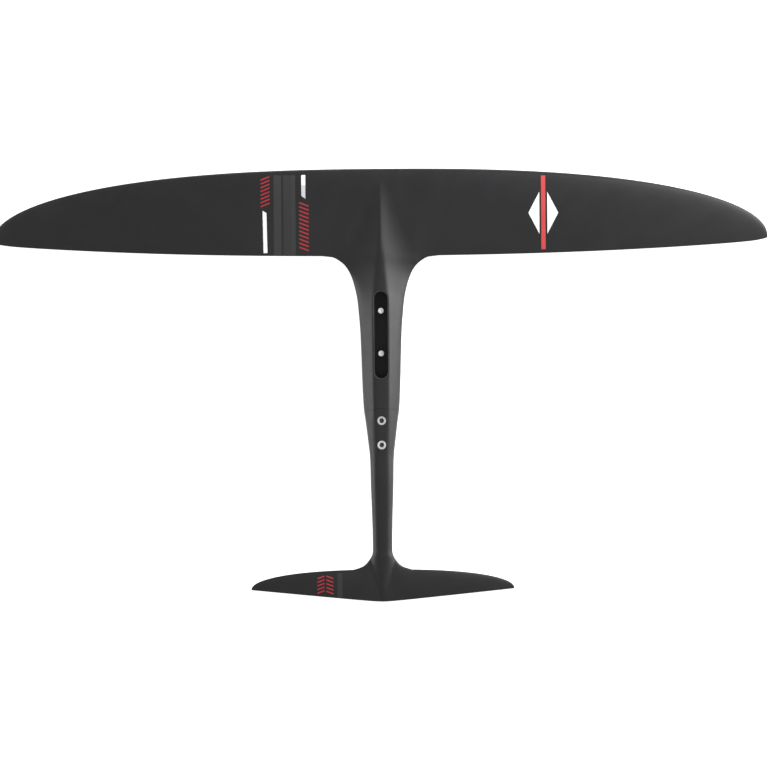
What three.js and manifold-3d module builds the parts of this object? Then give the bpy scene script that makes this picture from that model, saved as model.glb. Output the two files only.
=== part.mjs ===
// Hydrofoil wing set: a carbon front wing moulded in one with its fuselage, and a tail section (boom and
// stabilizer) that laps onto the fuselage and is held by two countersunk screws. The mast plugs into a pocket
// in the top of the fuselage and is held by two bolts from below.
// Millimetres. +X points to starboard, +Y forwards and +Z up. The origin is the middle of the mast pocket's
// floor, halfway between the two mast bolts.
import * as THREE from "three";
import { mergeVertices } from "three/addons/utils/BufferGeometryUtils.js";
import Module from "manifold-3d";

const wasm = await Module();
wasm.setup();

// ---------- driving dimensions ----------

// Front wing, in plan
const HALF_SPAN = 545;
const NOSE_Y = 229.6; // leading edge on the centre line
const LE_SWEEP = 96.6; // how far back the leading edge falls at the tip
const LE_POWER = 2.5;
const ROOT_TE_Y = 107.1; // trailing edge at the root
const TE_SWEEP = 18.8; // how far forwards the trailing edge comes at the tip
const TE_POWER = 2.35;
const TIP_ROUND = 3.5; // extra rounding of the trailing edge at the very tip
const TIP_ROUND_POWER = 45;
const WING_JOIN_X = 82.4; // where the straight trailing edge meets the fillet to the fuselage

// Front wing, in section
const WING_THICKNESS = 0.118; // of the chord, at the root
const WING_THINNING = 0.035; // less of the chord at the tip
const WING_UPPER_SHARE = 0.64; // of the thickness, above the parting surface
const TIP_DROP = 26; // the wing tips and the stabilizer tips end level, so the part stands on them
const TIP_DROP_POWER = 2.4;
const WING_FADE_Y = 93; // behind this the wing section is lost in the fuselage

// Stabilizer
const STAB_HALF_SPAN = 185;
const STAB_NOSE_Y = -333.5;
const STAB_SWEEP = 27;
const STAB_TAIL_Y = -379.9;
const STAB_TE_SWEEP = 18.1;
const STAB_APEX_ROUND = 0.06; // rounding of the trailing edge's point, as a share of the half span
const STAB_JOIN_X = 41.3;
const STAB_THICKNESS = 0.112;
const STAB_UPPER_SHARE = 0.5;
const STAB_TIP_DROP = 16;
const BOOM_DROP = 10; // how far the boom falls from the lap joint back to the stabilizer
const BOOM_DROP_END_Y = -345;
const STAB_FADE_Y = -306;

// Fuselage and boom: the outline of one side, from the wing's trailing edge back to the stabilizer
const SIDE_OUTLINE = [
  [71.4, 106.6],
  [61.6, 103],
  [49.5, 93.2],
  [40.5, 76.7],
  [33.9, 51.3],
  [31, 25.9],
  [29.1, 0],
  [27.7, -40],
  [26.7, -72],
  [25.2, -101],
  [22.4, -126],
  [19.4, -151.6],
  [16.8, -177],
  [16, -215],
  [14.5, -260],
  [13.7, -300],
  [14.6, -312.2],
  [19.2, -320.6],
  [27.4, -329],
];

// Fuselage and boom in section, from the nose back, as heights above and below the parting surface. The
// upper side is a roof on a fairing. The roof is flat out to "flat" and slopes down to "foot". The fairing
// falls as (1 - s^bulge)^edge out to "half", or to the outline where that is nearer. The lower side has
// no roof.
const BODY_STATIONS = [
  { y: 212, roof: 0, flat: 0, foot: 8, fairing: 0, bottom: 0, half: 12, bulge: 1.6, edge: 2 },
  { y: 199, roof: 1.2, flat: 0, foot: 15, fairing: 1.2, bottom: 3, half: 20, bulge: 1.6, edge: 2 },
  { y: 179, roof: 3.2, flat: 0, foot: 22, fairing: 2.2, bottom: 8, half: 28, bulge: 1.6, edge: 1.9 },
  { y: 155, roof: 5.8, flat: 0, foot: 30, fairing: 2.5, bottom: 12.5, half: 38, bulge: 1.6, edge: 1.8 },
  { y: 130, roof: 8.3, flat: 0.6, foot: 42, fairing: 3.5, bottom: 16, half: 50, bulge: 1.6, edge: 1.5 },
  { y: 116, roof: 9.9, flat: 2.4, foot: 50, fairing: 3.3, bottom: 17.4, half: 58, bulge: 1.6, edge: 1.25 },
  { y: 102, roof: 11.4, flat: 4.2, foot: 58, fairing: 2.8, bottom: 18.3, half: 58, bulge: 2, edge: 1 },
  { y: 85, roof: 10.9, flat: 6.2, foot: 48, fairing: 4.2, bottom: 19, half: 46, bulge: 2.6, edge: 0.8 },
  { y: 66, roof: 9.9, flat: 8.2, foot: 41, fairing: 6.4, bottom: 19.4, half: 40, bulge: 3.2, edge: 0.62 },
  { y: 40, roof: 9.4, flat: 10.8, foot: 34, fairing: 8.5, bottom: 19.5, half: 36, bulge: 4, edge: 0.55 },
  { y: 5, roof: 9.6, flat: 12.2, foot: 30.5, fairing: 8.7, bottom: 19.5, half: 32, bulge: 4.5, edge: 0.5 },
  { y: -75, roof: 9.9, flat: 12, foot: 28.5, fairing: 8.9, bottom: 19.5, half: 30, bulge: 4.5, edge: 0.5 },
  { y: -106, roof: 8.6, flat: 11.4, foot: 27, fairing: 9.1, bottom: 18.4, half: 28, bulge: 4.3, edge: 0.5 },
  { y: -128, roof: 5, flat: 10, foot: 24, fairing: 11, bottom: 17, half: 26, bulge: 4.2, edge: 0.5 },
  { y: -158, roof: 2, flat: 8, foot: 20, fairing: 11.7, bottom: 14.6, half: 22, bulge: 3.4, edge: 0.5 },
  { y: -185, roof: 0, flat: 5, foot: 12, fairing: 11.6, bottom: 12.4, half: 20, bulge: 3, edge: 0.5 },
  { y: -240, roof: 0, flat: 4, foot: 10, fairing: 10, bottom: 10.4, half: 18, bulge: 2.8, edge: 0.5 },
  { y: -305, roof: 0, flat: 3, foot: 9, fairing: 8.2, bottom: 8.4, half: 16, bulge: 2.6, edge: 0.55 },
  { y: -335, roof: 0, flat: 2, foot: 8, fairing: 5.6, bottom: 5.6, half: 15, bulge: 2, edge: 1 },
  { y: -360, roof: 0, flat: 1, foot: 6, fairing: 2.2, bottom: 2.2, half: 9, bulge: 1.7, edge: 1.4 },
  { y: -377, roof: 0, flat: 0, foot: 4, fairing: 0, bottom: 0, half: 4, bulge: 1.6, edge: 1.6 },
];
const ROOF_ROUND = 3; // rounding of the roof's edges
const ROOF_HOLLOW = 1.8; // above 1, the roof's slopes are hollow and steepest at the top

// Moulding
const PART_Z = 6; // parting surface between upper and lower skins, above the pocket floor
const RIM = 0.5; // half thickness of every outer edge
const SEAM = 0.15; // half gap where two mouldings meet
const WING_SKIN = 1.6;
const TAIL_SKIN = 1.1;
const BOND = 0.9; // bond line between a skin and what it encloses

// Lap joint between fuselage and tail section
const LAP_FRONT_Y = -107.5;
const LAP_BOW = 2.8; // how far the seam curves back at the sides
const LAP_BOW_REACH = 22; // the seam's curve fades over this distance
const LAP_REAR_Y = -178.5;
const LAP_WALL = 5; // thickness of the end wall behind each shoulder
const LAP_INSET = 3.6; // from the outline to the solid tongue inside the skin
const WALL_BITE = 1; // how far an end wall reaches into the tongue it stands on
const TAIL_SCREW_YS = { front: -124.3, rear: -158.5 };
const TAIL_SCREW_LENGTHS = { front: 25, rear: 20 };
const INSERT_RADIUS = 5;
const INSERT_LENGTH = 10;

// Mast pocket and bolts
const POCKET_HALF_WIDTH = 9.5;
const POCKET_FRONT_Y = 57;
const POCKET_REAR_Y = -65;
const LINER_WALL = 1;
const LINER_FLOOR = 3;
const MAST_BOLT_SPACING = 60;
const MAST_BOLT_LENGTH = 30;
const BUSH_RADIUS = 9.5;

// Fasteners, M6 and M8 with 90 degree countersunk heads and six-lobe sockets
const M6 = { shank: 3, head: 6.1, socket: 3.6, socketDepth: 2.6 };
const M8 = { shank: 4, head: 8, socket: 3.4, socketDepth: 3 };
const FIT_GAP = 0.35; // clearance around every fastener and insert
const HEAD_SINK = 0.5; // how far a head sits below the surface
const HEAD_RIM = 0.3; // the straight edge of a head
const TIP_CHAMFER = 0.8;
const LOBE_DEPTH = 0.13; // of a socket, as a share of its radius
const BUSH_INSET = 0.1; // the bushes stop this far inside the belly
const INSERT_RELIEF = 1; // depth of the hole under an insert

// Spar and cores
const SPAR_CHORD_SHARE = 0.33;
const SPAR_HALF_LENGTH = 430;
const SPAR_ROOT_HALF_WIDTH = 9;
const SPAR_TIP_HALF_WIDTH = 4.5;
const CORE_TIP_X = 380;
const CORE_FRONT_SHARES = [0.06, 0.16]; // of the chord, at the root and at the core's tip
const CORE_REAR_SHARES = [0.74, 0.5];
const CORE_ROOT_X = 32; // wing cores start here, outside the fuselage core
const CORE_SPLIT = 0.5; // gap between neighbouring cores
const CORE_XS = [12, 26, 45, 62, 80, 150, 220, 300]; // where the spar and the wing cores are shaped
const FUSELAGE_CORE_YS = [165, 145, 125, 105, 85, 65, 40, 15, -15, -45, -75];
const BOOM_CORE_HALF_WIDTH = 14;
const BOOM_CORE_END = 8; // from the core's end to the stabilizer's leading edge
const STAB_CORE_SHARES = [0.16, 0.52]; // of the chord, at the core's front and rear
const STAB_CORE_XS = [0, 12, 26, 50, 75, 95];

// Mesh density
const CHORD_STEPS = 10;
const SPAN_STEPS = 11;
const STAB_CHORD_STEPS = 7;
const STAB_SPAN_STEPS = 7;
const SIDE_SAMPLES = 240;
const SIDE_SAMPLES_PER_ROW = 11;
const LAP_STEPS = 7;
const BOOM_CORE_STEPS = 8;
const ROUND_STEPS = 24;
const OVERCUT = 5; // how far a cutting tool reaches past what it cuts
const COLUMNS = [0, 0.16, 0.32, 0.48, 0.66, 0.82, 0.94, 1]; // across half the fuselage, as shares
const CORE_COLUMNS = [0, 0.3, 0.55, 0.8, 1];

// ---------- materials ----------

const finish = (color, roughness, metalness) =>
  new THREE.MeshStandardMaterial({ color, roughness, metalness });
const carbon = finish(0x2e2e31, 0.5, 0);
const laminate = finish(0x1d1d1f, 0.6, 0);
const spar = finish(0x18181a, 0.45, 0);
const foam = finish(0xd8cfae, 0.9, 0);
const liner = finish(0x141415, 0.65, 0);
const steel = finish(0xc9cacc, 0.28, 1);
const brass = finish(0xb08d4a, 0.35, 1);

// ---------- plan shape ----------

const mix = (a, b, t) => a + (b - a) * t;
const clamp01 = (t) => Math.min(1, Math.max(0, t));
const smooth = (t) => t * t * (3 - 2 * t);

const leadingEdge = (x) => NOSE_Y - LE_SWEEP * (1 - Math.sqrt(1 - Math.abs(x / HALF_SPAN) ** LE_POWER));

const trailingEdge = (x) => {
  const share = Math.abs(x / HALF_SPAN);
  return ROOT_TE_Y + TE_SWEEP * share ** TE_POWER + TIP_ROUND * share ** TIP_ROUND_POWER;
};

const stabLeadingEdge = (x) =>
  STAB_NOSE_Y - STAB_SWEEP * (1 - Math.sqrt(1 - Math.min(1, Math.abs(x / STAB_HALF_SPAN)) ** LE_POWER));

const stabTrailingEdge = (x) => STAB_TAIL_Y + STAB_TE_SWEEP * Math.hypot(x / STAB_HALF_SPAN, STAB_APEX_ROUND);

// Points along the side of the fuselage, from the wing's trailing edge to the stabilizer's leading edge
const sidePoints = new THREE.SplineCurve(
  [
    [WING_JOIN_X, trailingEdge(WING_JOIN_X)],
    ...SIDE_OUTLINE,
    [STAB_JOIN_X, stabLeadingEdge(STAB_JOIN_X)],
  ].map(([x, y]) => new THREE.Vector2(x, y)),
).getPoints(SIDE_SAMPLES);

const narrowest = sidePoints.reduce((best, p) => (p.x < best.x ? p : best));
const waist = sidePoints.indexOf(narrowest);
const frontSide = sidePoints.slice(0, waist + 1);
const rearSide = sidePoints.slice(waist).reverse();

// On a stretch of the outline that narrows from start to end, the coordinate "to" where "from" has a value
function along(stretch, value, from, to) {
  const sign = Math.sign(stretch[0][from] - stretch[stretch.length - 1][from]);
  const next = stretch.findIndex((p) => sign * (value - p[from]) >= 0);
  if (next === 0) return stretch[0][to];
  if (next < 0) return stretch[stretch.length - 1][to];
  const a = stretch[next - 1];
  const b = stretch[next];
  return mix(a[to], b[to], (value - a[from]) / (b[from] - a[from]));
}

const halfWidth = (y) => along(y > narrowest.y ? frontSide : rearSide, y, "y", "x");
const frontSideY = (x) => along(frontSide, Math.abs(x), "x", "y");
const rearSideY = (x) => along(rearSide, Math.abs(x), "x", "y");

// The lap joint's front seam curves back towards the sides, and the plan around it is bent to suit
function bent(x, y) {
  const near = smooth(clamp01(1 - Math.abs(y - LAP_FRONT_Y) / LAP_BOW_REACH));
  return [x, y - LAP_BOW * near * (x / halfWidth(LAP_FRONT_Y)) ** 2];
}

// ---------- sections ----------

// Half thickness of a symmetric section with a closed trailing edge, 1 at its thickest
function sectionShape(t) {
  const s = clamp01(t);
  return 10 * (0.2969 * Math.sqrt(s) - 0.126 * s - 0.3516 * s ** 2 + 0.2843 * s ** 3 - 0.1036 * s ** 4);
}

// Total thickness of the front wing at a point in plan
function wingThickness(x, y) {
  const front = leadingEdge(x);
  const rear = Math.abs(x) < WING_JOIN_X ? Math.max(frontSideY(x), WING_FADE_Y) : trailingEdge(x);
  if (y > front || y < rear) return 0;
  const ratio = WING_THICKNESS - WING_THINNING * Math.abs(x / HALF_SPAN);
  return ratio * (front - trailingEdge(x)) * sectionShape((front - y) / (front - rear));
}

// Total thickness of the stabilizer at a point in plan
function stabThickness(x, y) {
  const front = Math.abs(x) < STAB_JOIN_X ? Math.min(rearSideY(x), STAB_FADE_Y) : stabLeadingEdge(x);
  const rear = stabTrailingEdge(x);
  if (y > front || y < rear) return 0;
  return STAB_THICKNESS * (stabLeadingEdge(x) - rear) * sectionShape((front - y) / (front - rear));
}

// The fuselage's section at a station along it
function bodyAt(y) {
  const last = BODY_STATIONS.length - 1;
  const next = BODY_STATIONS.findIndex((s) => s.y <= y);
  if (next === 0) return BODY_STATIONS[0];
  if (next < 0) return BODY_STATIONS[last];
  const a = BODY_STATIONS[next - 1];
  const b = BODY_STATIONS[next];
  const t = (a.y - y) / (a.y - b.y);
  const before = BODY_STATIONS[Math.max(0, next - 2)];
  const after = BODY_STATIONS[Math.min(last, next + 1)];
  return Object.fromEntries(
    Object.keys(a).map((key) => {
      const slopeA = ((b[key] - before[key]) / (b.y - before.y)) * (b.y - a.y);
      const slopeB = ((after[key] - a[key]) / (after.y - a.y)) * (b.y - a.y);
      const cubic =
        a[key] * (2 * t ** 3 - 3 * t ** 2 + 1) +
        slopeA * (t ** 3 - 2 * t ** 2 + t) +
        b[key] * (3 * t ** 2 - 2 * t ** 3) +
        slopeB * (t ** 3 - t ** 2);
      return [key, a[key] === b[key] ? a[key] : cubic];
    }),
  );
}

// The fuselage's fairing at a point in plan, for a height given at the centre line
function fairingHeight(x, station, y, height) {
  const half = Math.min(station.half, halfWidth(y));
  return Math.max(0, height) * (1 - clamp01(Math.abs(x) / half) ** station.bulge) ** station.edge;
}

// A straight ramp with a rounded foot
const ramp = (u) => (u + Math.hypot(u, ROOF_ROUND)) / 2;

function roofHeight(x, station) {
  const fall = ramp(Math.abs(x) - station.flat) - ramp(Math.abs(x) - station.foot);
  return Math.max(0, station.roof) * (1 - fall / (station.foot - station.flat)) ** ROOF_HOLLOW;
}

// The surface where the upper and lower mouldings meet, which holds every outer edge
function partingZ(x, y) {
  if (y > WING_FADE_Y) return PART_Z - TIP_DROP * Math.abs(x / HALF_SPAN) ** TIP_DROP_POWER;
  const boom = BOOM_DROP * smooth(clamp01((LAP_REAR_Y - y) / (LAP_REAR_Y - BOOM_DROP_END_Y)));
  const tips = y < STAB_FADE_Y ? STAB_TIP_DROP * (x / STAB_HALF_SPAN) ** 2 : 0;
  return PART_Z - boom - tips;
}

function topZ(x, y) {
  const station = bodyAt(y);
  const wing = WING_UPPER_SHARE * wingThickness(x, y);
  const stab = STAB_UPPER_SHARE * stabThickness(x, y);
  const fairing = fairingHeight(x, station, y, station.fairing);
  return partingZ(x, y) + RIM + Math.hypot(wing, stab, fairing) + roofHeight(x, station);
}

function bottomZ(x, y) {
  const station = bodyAt(y);
  const wing = (1 - WING_UPPER_SHARE) * wingThickness(x, y);
  const stab = (1 - STAB_UPPER_SHARE) * stabThickness(x, y);
  return partingZ(x, y) - RIM - Math.hypot(wing, stab, fairingHeight(x, station, y, station.bottom));
}

// How much longer a vertical line through a skin is than the skin is thick
function slant(surface, x, y) {
  const step = 0.25;
  const alongX = (surface(Math.abs(x) - step, y) - surface(Math.abs(x), y)) / step;
  const alongY = (surface(x, y + step) - surface(x, y - step)) / (2 * step);
  return Math.min(12, Math.hypot(1, alongX, alongY));
}

// The inside of a skin, which stays on its own side of the parting surface
const skinUnder = (thickness) => (x, y) =>
  Math.max(topZ(x, y) - thickness * slant(topZ, x, y), partingZ(x, y) + SEAM);
const skinOver = (thickness) => (x, y) =>
  Math.min(bottomZ(x, y) + thickness * slant(bottomZ, x, y), partingZ(x, y) - SEAM);

// ---------- meshes ----------

const cosineSteps = (n) => Array.from({ length: n + 1 }, (_, i) => (1 - Math.cos((Math.PI * i) / n)) / 2);
const evenSteps = (n) => Array.from({ length: n + 1 }, (_, i) => i / n);

// Stations from the centre line out to a tip, closer together towards the tip
const spanStations = (join, tip, n) => evenSteps(n).map((t) => tip - (tip - join) * (1 - t) ** 2);

// A mesh in plan. Its rows run from front to rear, and joinRows makes the cells between two of them.
function planFromRows(rows) {
  const points = [];
  const indexed = rows.map((row) => row.map((p) => points.push(p) - 1));
  return { points, indexed, cells: [] };
}

function joinRows(plan, rows) {
  for (let r = 0; r + 1 < rows.length; r += 1) {
    const ahead = rows[r];
    const behind = rows[r + 1];
    for (let i = 0; i + 1 < ahead.length; i += 1)
      plan.cells.push([ahead[i], behind[i], behind[i + 1], ahead[i + 1]]);
  }
  return plan;
}

function fullPlan(rows) {
  const plan = planFromRows(rows);
  return joinRows(plan, plan.indexed);
}

const mirrored = (positive) => [...positive.slice(1).map((v) => -v).reverse(), ...positive];

// A plan with a wing at one end and a fuselage behind or ahead of it. Wing rows run from front to rear.
function winglikePlan({ tipX, joinX, front, rear, chordSteps, spanSteps, bodyRows, wingFirst }) {
  const inner = COLUMNS.map((c) => c * joinX);
  const outer = spanStations(joinX, tipX, spanSteps).slice(1);
  const xs = mirrored([...inner, ...outer]);
  const wingRows = cosineSteps(chordSteps).map((t) => xs.map((x) => [x, mix(front(x), rear(x), t)]));
  const fuselageRows = bodyRows.map(([half, y]) => mirrored(COLUMNS).map((c) => bent(c * half, y)));
  const plan = planFromRows([...wingRows, ...fuselageRows]);
  const wing = plan.indexed.slice(0, wingRows.length);
  const body = plan.indexed.slice(wingRows.length);
  const shared = (row) => row.slice(outer.length, row.length - outer.length);
  joinRows(plan, wing);
  return joinRows(plan, wingFirst ? [shared(wing[wing.length - 1]), ...body] : [...body, shared(wing[0])]);
}

// Half width and station of each row down the fuselage between two stations, at the outline's own points
const bodyRowsBetween = (frontY, rearY) =>
  sidePoints
    .filter((p, i) => i % SIDE_SAMPLES_PER_ROW === 0 && p.y < frontY - 1 && p.y > rearY + 1)
    .map((p) => [p.x, p.y]);

// A closed solid between two surfaces over a plan
function slab(plan, lowZ, highZ) {
  const n = plan.points.length;
  const used = new Set(plan.cells.flat());
  const positions = [];
  for (const surface of [lowZ, highZ])
    plan.points.forEach(([x, y], i) => positions.push(x, y, used.has(i) ? surface(x, y) : 0));
  const index = [];
  const edges = new Set(plan.cells.flatMap((c) => c.map((a, i) => `${a},${c[(i + 1) % c.length]}`)));
  for (const [a, b, c, d] of plan.cells) {
    index.push(a + n, b + n, c + n, a + n, c + n, d + n);
    index.push(a, c, b, a, d, c);
  }
  for (const edge of edges) {
    const [a, b] = edge.split(",").map(Number);
    if (!edges.has(`${b},${a}`)) index.push(a, b, b + n, a, b + n, a + n);
  }
  const geometry = new THREE.BufferGeometry();
  geometry.setAttribute("position", new THREE.Float32BufferAttribute(positions, 3));
  geometry.setIndex(index);
  return geometry;
}

// A four-sided patch between x stations, from frontY(x) back to rearY(x)
const patch = (xs, frontY, rearY, shares) =>
  fullPlan(shares.map((t) => xs.map((x) => [x, mix(frontY(x), rearY(x), t)])));

// ---------- booleans ----------

function toSolid(geometry) {
  const bare = geometry.index ? geometry.toNonIndexed() : geometry.clone();
  bare.deleteAttribute("normal");
  bare.deleteAttribute("uv");
  const merged = mergeVertices(bare, 1e-4);
  return new wasm.Manifold(
    new wasm.Mesh({
      numProp: 3,
      vertProperties: new Float32Array(merged.attributes.position.array),
      triVerts: new Uint32Array(merged.index.array),
    }),
  );
}

function toGeometry(solid) {
  const mesh = solid.getMesh();
  const geometry = new THREE.BufferGeometry();
  geometry.setAttribute("position", new THREE.BufferAttribute(mesh.vertProperties, 3));
  geometry.setIndex(new THREE.BufferAttribute(mesh.triVerts, 1));
  return geometry;
}

const cut = (geometry, ...tools) =>
  toGeometry(tools.reduce((solid, tool) => solid.subtract(toSolid(tool)), toSolid(geometry)));
const join = (geometry, ...others) =>
  toGeometry(others.reduce((solid, other) => solid.add(toSolid(other)), toSolid(geometry)));

// A turned shape about a vertical axis. The profile goes up the outside, from the axis and back to it.
function turned(profile, y = 0, z = 0) {
  const points = profile.map(([r, h]) => new THREE.Vector2(r, h));
  return new THREE.LatheGeometry(points, ROUND_STEPS).rotateX(Math.PI / 2).translate(0, y, z);
}

const rod = (radius, lowZ, highZ, y) =>
  turned([[0, lowZ], [radius, lowZ], [radius, highZ], [0, highZ]], y);

// An upright block with round ends, running fore and aft
function obround(half, frontY, rearY, lowZ, highZ) {
  const shape = new THREE.Shape();
  shape.absarc(0, frontY - half, half, 0, Math.PI);
  shape.absarc(0, rearY + half, half, Math.PI, 2 * Math.PI);
  shape.closePath();
  return new THREE.ExtrudeGeometry(shape, {
    depth: highZ - lowZ,
    bevelEnabled: false,
    curveSegments: ROUND_STEPS / 2,
  }).translate(0, 0, lowZ);
}

// ---------- front section ----------

const POCKET_TOP_Z = topZ(0, 0);
const BELLY_Z = bottomZ(0, 0);
const MAST_BOLT_YS = { front: MAST_BOLT_SPACING / 2, rear: -MAST_BOLT_SPACING / 2 };
const linerOuter = (extra, lowZ, highZ) =>
  obround(
    POCKET_HALF_WIDTH + LINER_WALL + extra,
    POCKET_FRONT_Y + LINER_WALL + extra,
    POCKET_REAR_Y - LINER_WALL - extra,
    lowZ,
    highZ,
  );

const frontPlan = (rearY) =>
  winglikePlan({
    tipX: HALF_SPAN,
    joinX: WING_JOIN_X,
    front: leadingEdge,
    rear: (x) => trailingEdge(Math.max(Math.abs(x), WING_JOIN_X)),
    chordSteps: CHORD_STEPS,
    spanSteps: SPAN_STEPS,
    bodyRows: [...bodyRowsBetween(ROOT_TE_Y, rearY), [halfWidth(rearY), rearY]],
    wingFirst: true,
  });

const bushHole = (y) => rod(BUSH_RADIUS + FIT_GAP, BELLY_Z - OVERCUT, 0, y);

function frontUpperSkin() {
  const skin = slab(frontPlan(LAP_FRONT_Y), skinUnder(WING_SKIN), topZ);
  return cut(skin, linerOuter(SEAM * 2, 0, POCKET_TOP_Z + OVERCUT));
}

function frontLowerSkin() {
  const skin = slab(frontPlan(LAP_REAR_Y), bottomZ, skinOver(WING_SKIN));
  return cut(skin, ...Object.values(MAST_BOLT_YS).map(bushHole));
}

function mastPocketLiner() {
  const tub = linerOuter(0, -LINER_FLOOR, POCKET_TOP_Z);
  const hollow = obround(POCKET_HALF_WIDTH, POCKET_FRONT_Y, POCKET_REAR_Y, 0, POCKET_TOP_Z + OVERCUT);
  const bore = M8.shank + FIT_GAP;
  const holes = Object.values(MAST_BOLT_YS).map((y) => rod(bore, -LINER_FLOOR - OVERCUT, OVERCUT, y));
  return cut(tub, hollow, ...holes);
}

// A sleeve from the belly up to the pocket liner, countersunk from below for the bolt's head
function mastBoltBush(y) {
  const bore = M8.shank + FIT_GAP;
  const mouth = M8.head + FIT_GAP;
  const low = BELLY_Z + BUSH_INSET;
  const high = -LINER_FLOOR - SEAM * 2;
  const seat = low + HEAD_SINK + M8.head - bore + FIT_GAP;
  return turned(
    [
      [bore, high],
      [bore, seat],
      [mouth, seat - (mouth - bore)],
      [mouth, low],
      [BUSH_RADIUS, low],
      [BUSH_RADIUS, high],
      [bore, high],
    ],
    y,
  );
}

const between = (lower, upper, margin) => [
  (x, y) => lower(x, y) + margin * slant(bottomZ, x, y),
  (x, y) => upper(x, y) - margin * slant(topZ, x, y),
];

const [wingCoreLow, wingCoreHigh] = between(skinOver(WING_SKIN), skinUnder(WING_SKIN), BOND);
const [tailCoreLow, tailCoreHigh] = between(skinOver(TAIL_SKIN), skinUnder(TAIL_SKIN), BOND);

const chordPoint = (x, share) => mix(leadingEdge(x), trailingEdge(x), share);
const sparHalfWidth = (x) =>
  mix(SPAR_ROOT_HALF_WIDTH, SPAR_TIP_HALF_WIDTH, Math.abs(x) / SPAR_HALF_LENGTH);
const sparFront = (x) => chordPoint(x, SPAR_CHORD_SHARE) + sparHalfWidth(x);
const sparRear = (x) => chordPoint(x, SPAR_CHORD_SHARE) - sparHalfWidth(x);

function mainSpar() {
  const xs = mirrored([0, ...CORE_XS, CORE_TIP_X, SPAR_HALF_LENGTH]);
  return slab(patch(xs, sparFront, sparRear, evenSteps(2)), wingCoreLow, wingCoreHigh);
}

const sided = (xs, side) => (side > 0 ? xs : xs.map((x) => -x).reverse());

// Foam ahead of the spar, from the centre line to the tip, on one side
function leadingCore(side) {
  const xs = sided([CORE_SPLIT, ...CORE_XS, CORE_TIP_X], side);
  const front = (x) => chordPoint(x, mix(...CORE_FRONT_SHARES, Math.abs(x) / CORE_TIP_X));
  const rear = (x) => sparFront(x) + CORE_SPLIT;
  return slab(patch(xs, front, rear, evenSteps(3)), wingCoreLow, wingCoreHigh);
}

// Foam behind the spar, from the fuselage core to the tip, on one side
function trailingCore(side) {
  const outside = CORE_XS.filter((x) => x > CORE_ROOT_X);
  const xs = sided([CORE_ROOT_X, ...outside, CORE_TIP_X], side);
  const front = (x) => sparRear(x) - CORE_SPLIT;
  const rear = (x) => chordPoint(x, mix(...CORE_REAR_SHARES, Math.abs(x) / CORE_TIP_X));
  return slab(patch(xs, front, rear, evenSteps(4)), wingCoreLow, wingCoreHigh);
}

// A patch that follows the fuselage between two stations, set in from its outline
const bodyPatch = (ys, halfAt) =>
  fullPlan(ys.map((y) => mirrored(CORE_COLUMNS).map((c) => bent(c * halfAt(y), y))));

function fuselageCore() {
  const ys = [sparRear(0) - CORE_SPLIT, ...FUSELAGE_CORE_YS, LAP_FRONT_Y + LAP_WALL + CORE_SPLIT];
  const half = (y) => Math.min(CORE_ROOT_X - CORE_SPLIT, halfWidth(y) - LAP_INSET);
  const core = slab(bodyPatch(ys, half), wingCoreLow, wingCoreHigh);
  const pocket = linerOuter(FIT_GAP, -LINER_FLOOR - FIT_GAP, POCKET_TOP_Z + OVERCUT);
  return cut(core, pocket, ...Object.values(MAST_BOLT_YS).map(bushHole));
}

// ---------- lap joint ----------

const insertHole = (y) =>
  rod(INSERT_RADIUS + FIT_GAP, PART_Z - INSERT_LENGTH - INSERT_RELIEF, PART_Z + OVERCUT, y);
const lapYs = (frontY, rearY) => evenSteps(LAP_STEPS).map((t) => mix(frontY, rearY, t));

// Solid laminate under the parting surface, reaching back under the tail, with a wall that closes the
// fuselage
function frontTongue() {
  const ys = lapYs(LAP_FRONT_Y + LAP_WALL, LAP_REAR_Y);
  const inset = (y) => halfWidth(y) - LAP_INSET;
  const tongue = slab(bodyPatch(ys, inset), wingCoreLow, () => PART_Z - SEAM);
  const wallPlan = bodyPatch([LAP_FRONT_Y + LAP_WALL, LAP_FRONT_Y], inset);
  const wall = slab(wallPlan, () => PART_Z - WALL_BITE, wingCoreHigh);
  return cut(join(tongue, wall), ...Object.values(TAIL_SCREW_YS).map(insertHole));
}

// Solid laminate above the parting surface, reaching forwards over the fuselage, with a wall that closes
// the boom
function tailTongue() {
  const ys = lapYs(LAP_FRONT_Y - 2 * SEAM, LAP_REAR_Y - LAP_WALL);
  const inset = (y) => halfWidth(y) - LAP_INSET;
  const tongue = slab(bodyPatch(ys, inset), () => PART_Z + SEAM, tailCoreHigh);
  const wallPlan = bodyPatch([LAP_REAR_Y - 2 * SEAM, LAP_REAR_Y - LAP_WALL], inset);
  const wall = slab(wallPlan, tailCoreLow, () => PART_Z + WALL_BITE);
  return cut(join(tongue, wall), ...Object.keys(TAIL_SCREW_YS).map(countersink));
}

// The hole for a tail screw, through the tongue and open to the top
function countersink(name) {
  const y = TAIL_SCREW_YS[name];
  const top = topZ(0, y) - HEAD_SINK;
  const bore = M6.shank + FIT_GAP;
  const mouth = M6.head + FIT_GAP;
  const seat = top - (mouth - bore) - FIT_GAP;
  return turned(
    [
      [0, PART_Z - OVERCUT],
      [bore, PART_Z - OVERCUT],
      [bore, seat],
      [mouth, top - FIT_GAP],
      [mouth, top + OVERCUT],
      [0, top + OVERCUT],
    ],
    y,
  );
}

// A threaded insert in the front tongue, flush with its top
function screwInsert(y) {
  const bore = M6.shank + FIT_GAP;
  const high = PART_Z - SEAM;
  const low = high - INSERT_LENGTH;
  return turned([[bore, high], [bore, low], [INSERT_RADIUS, low], [INSERT_RADIUS, high], [bore, high]], y);
}

// ---------- tail section ----------

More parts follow.
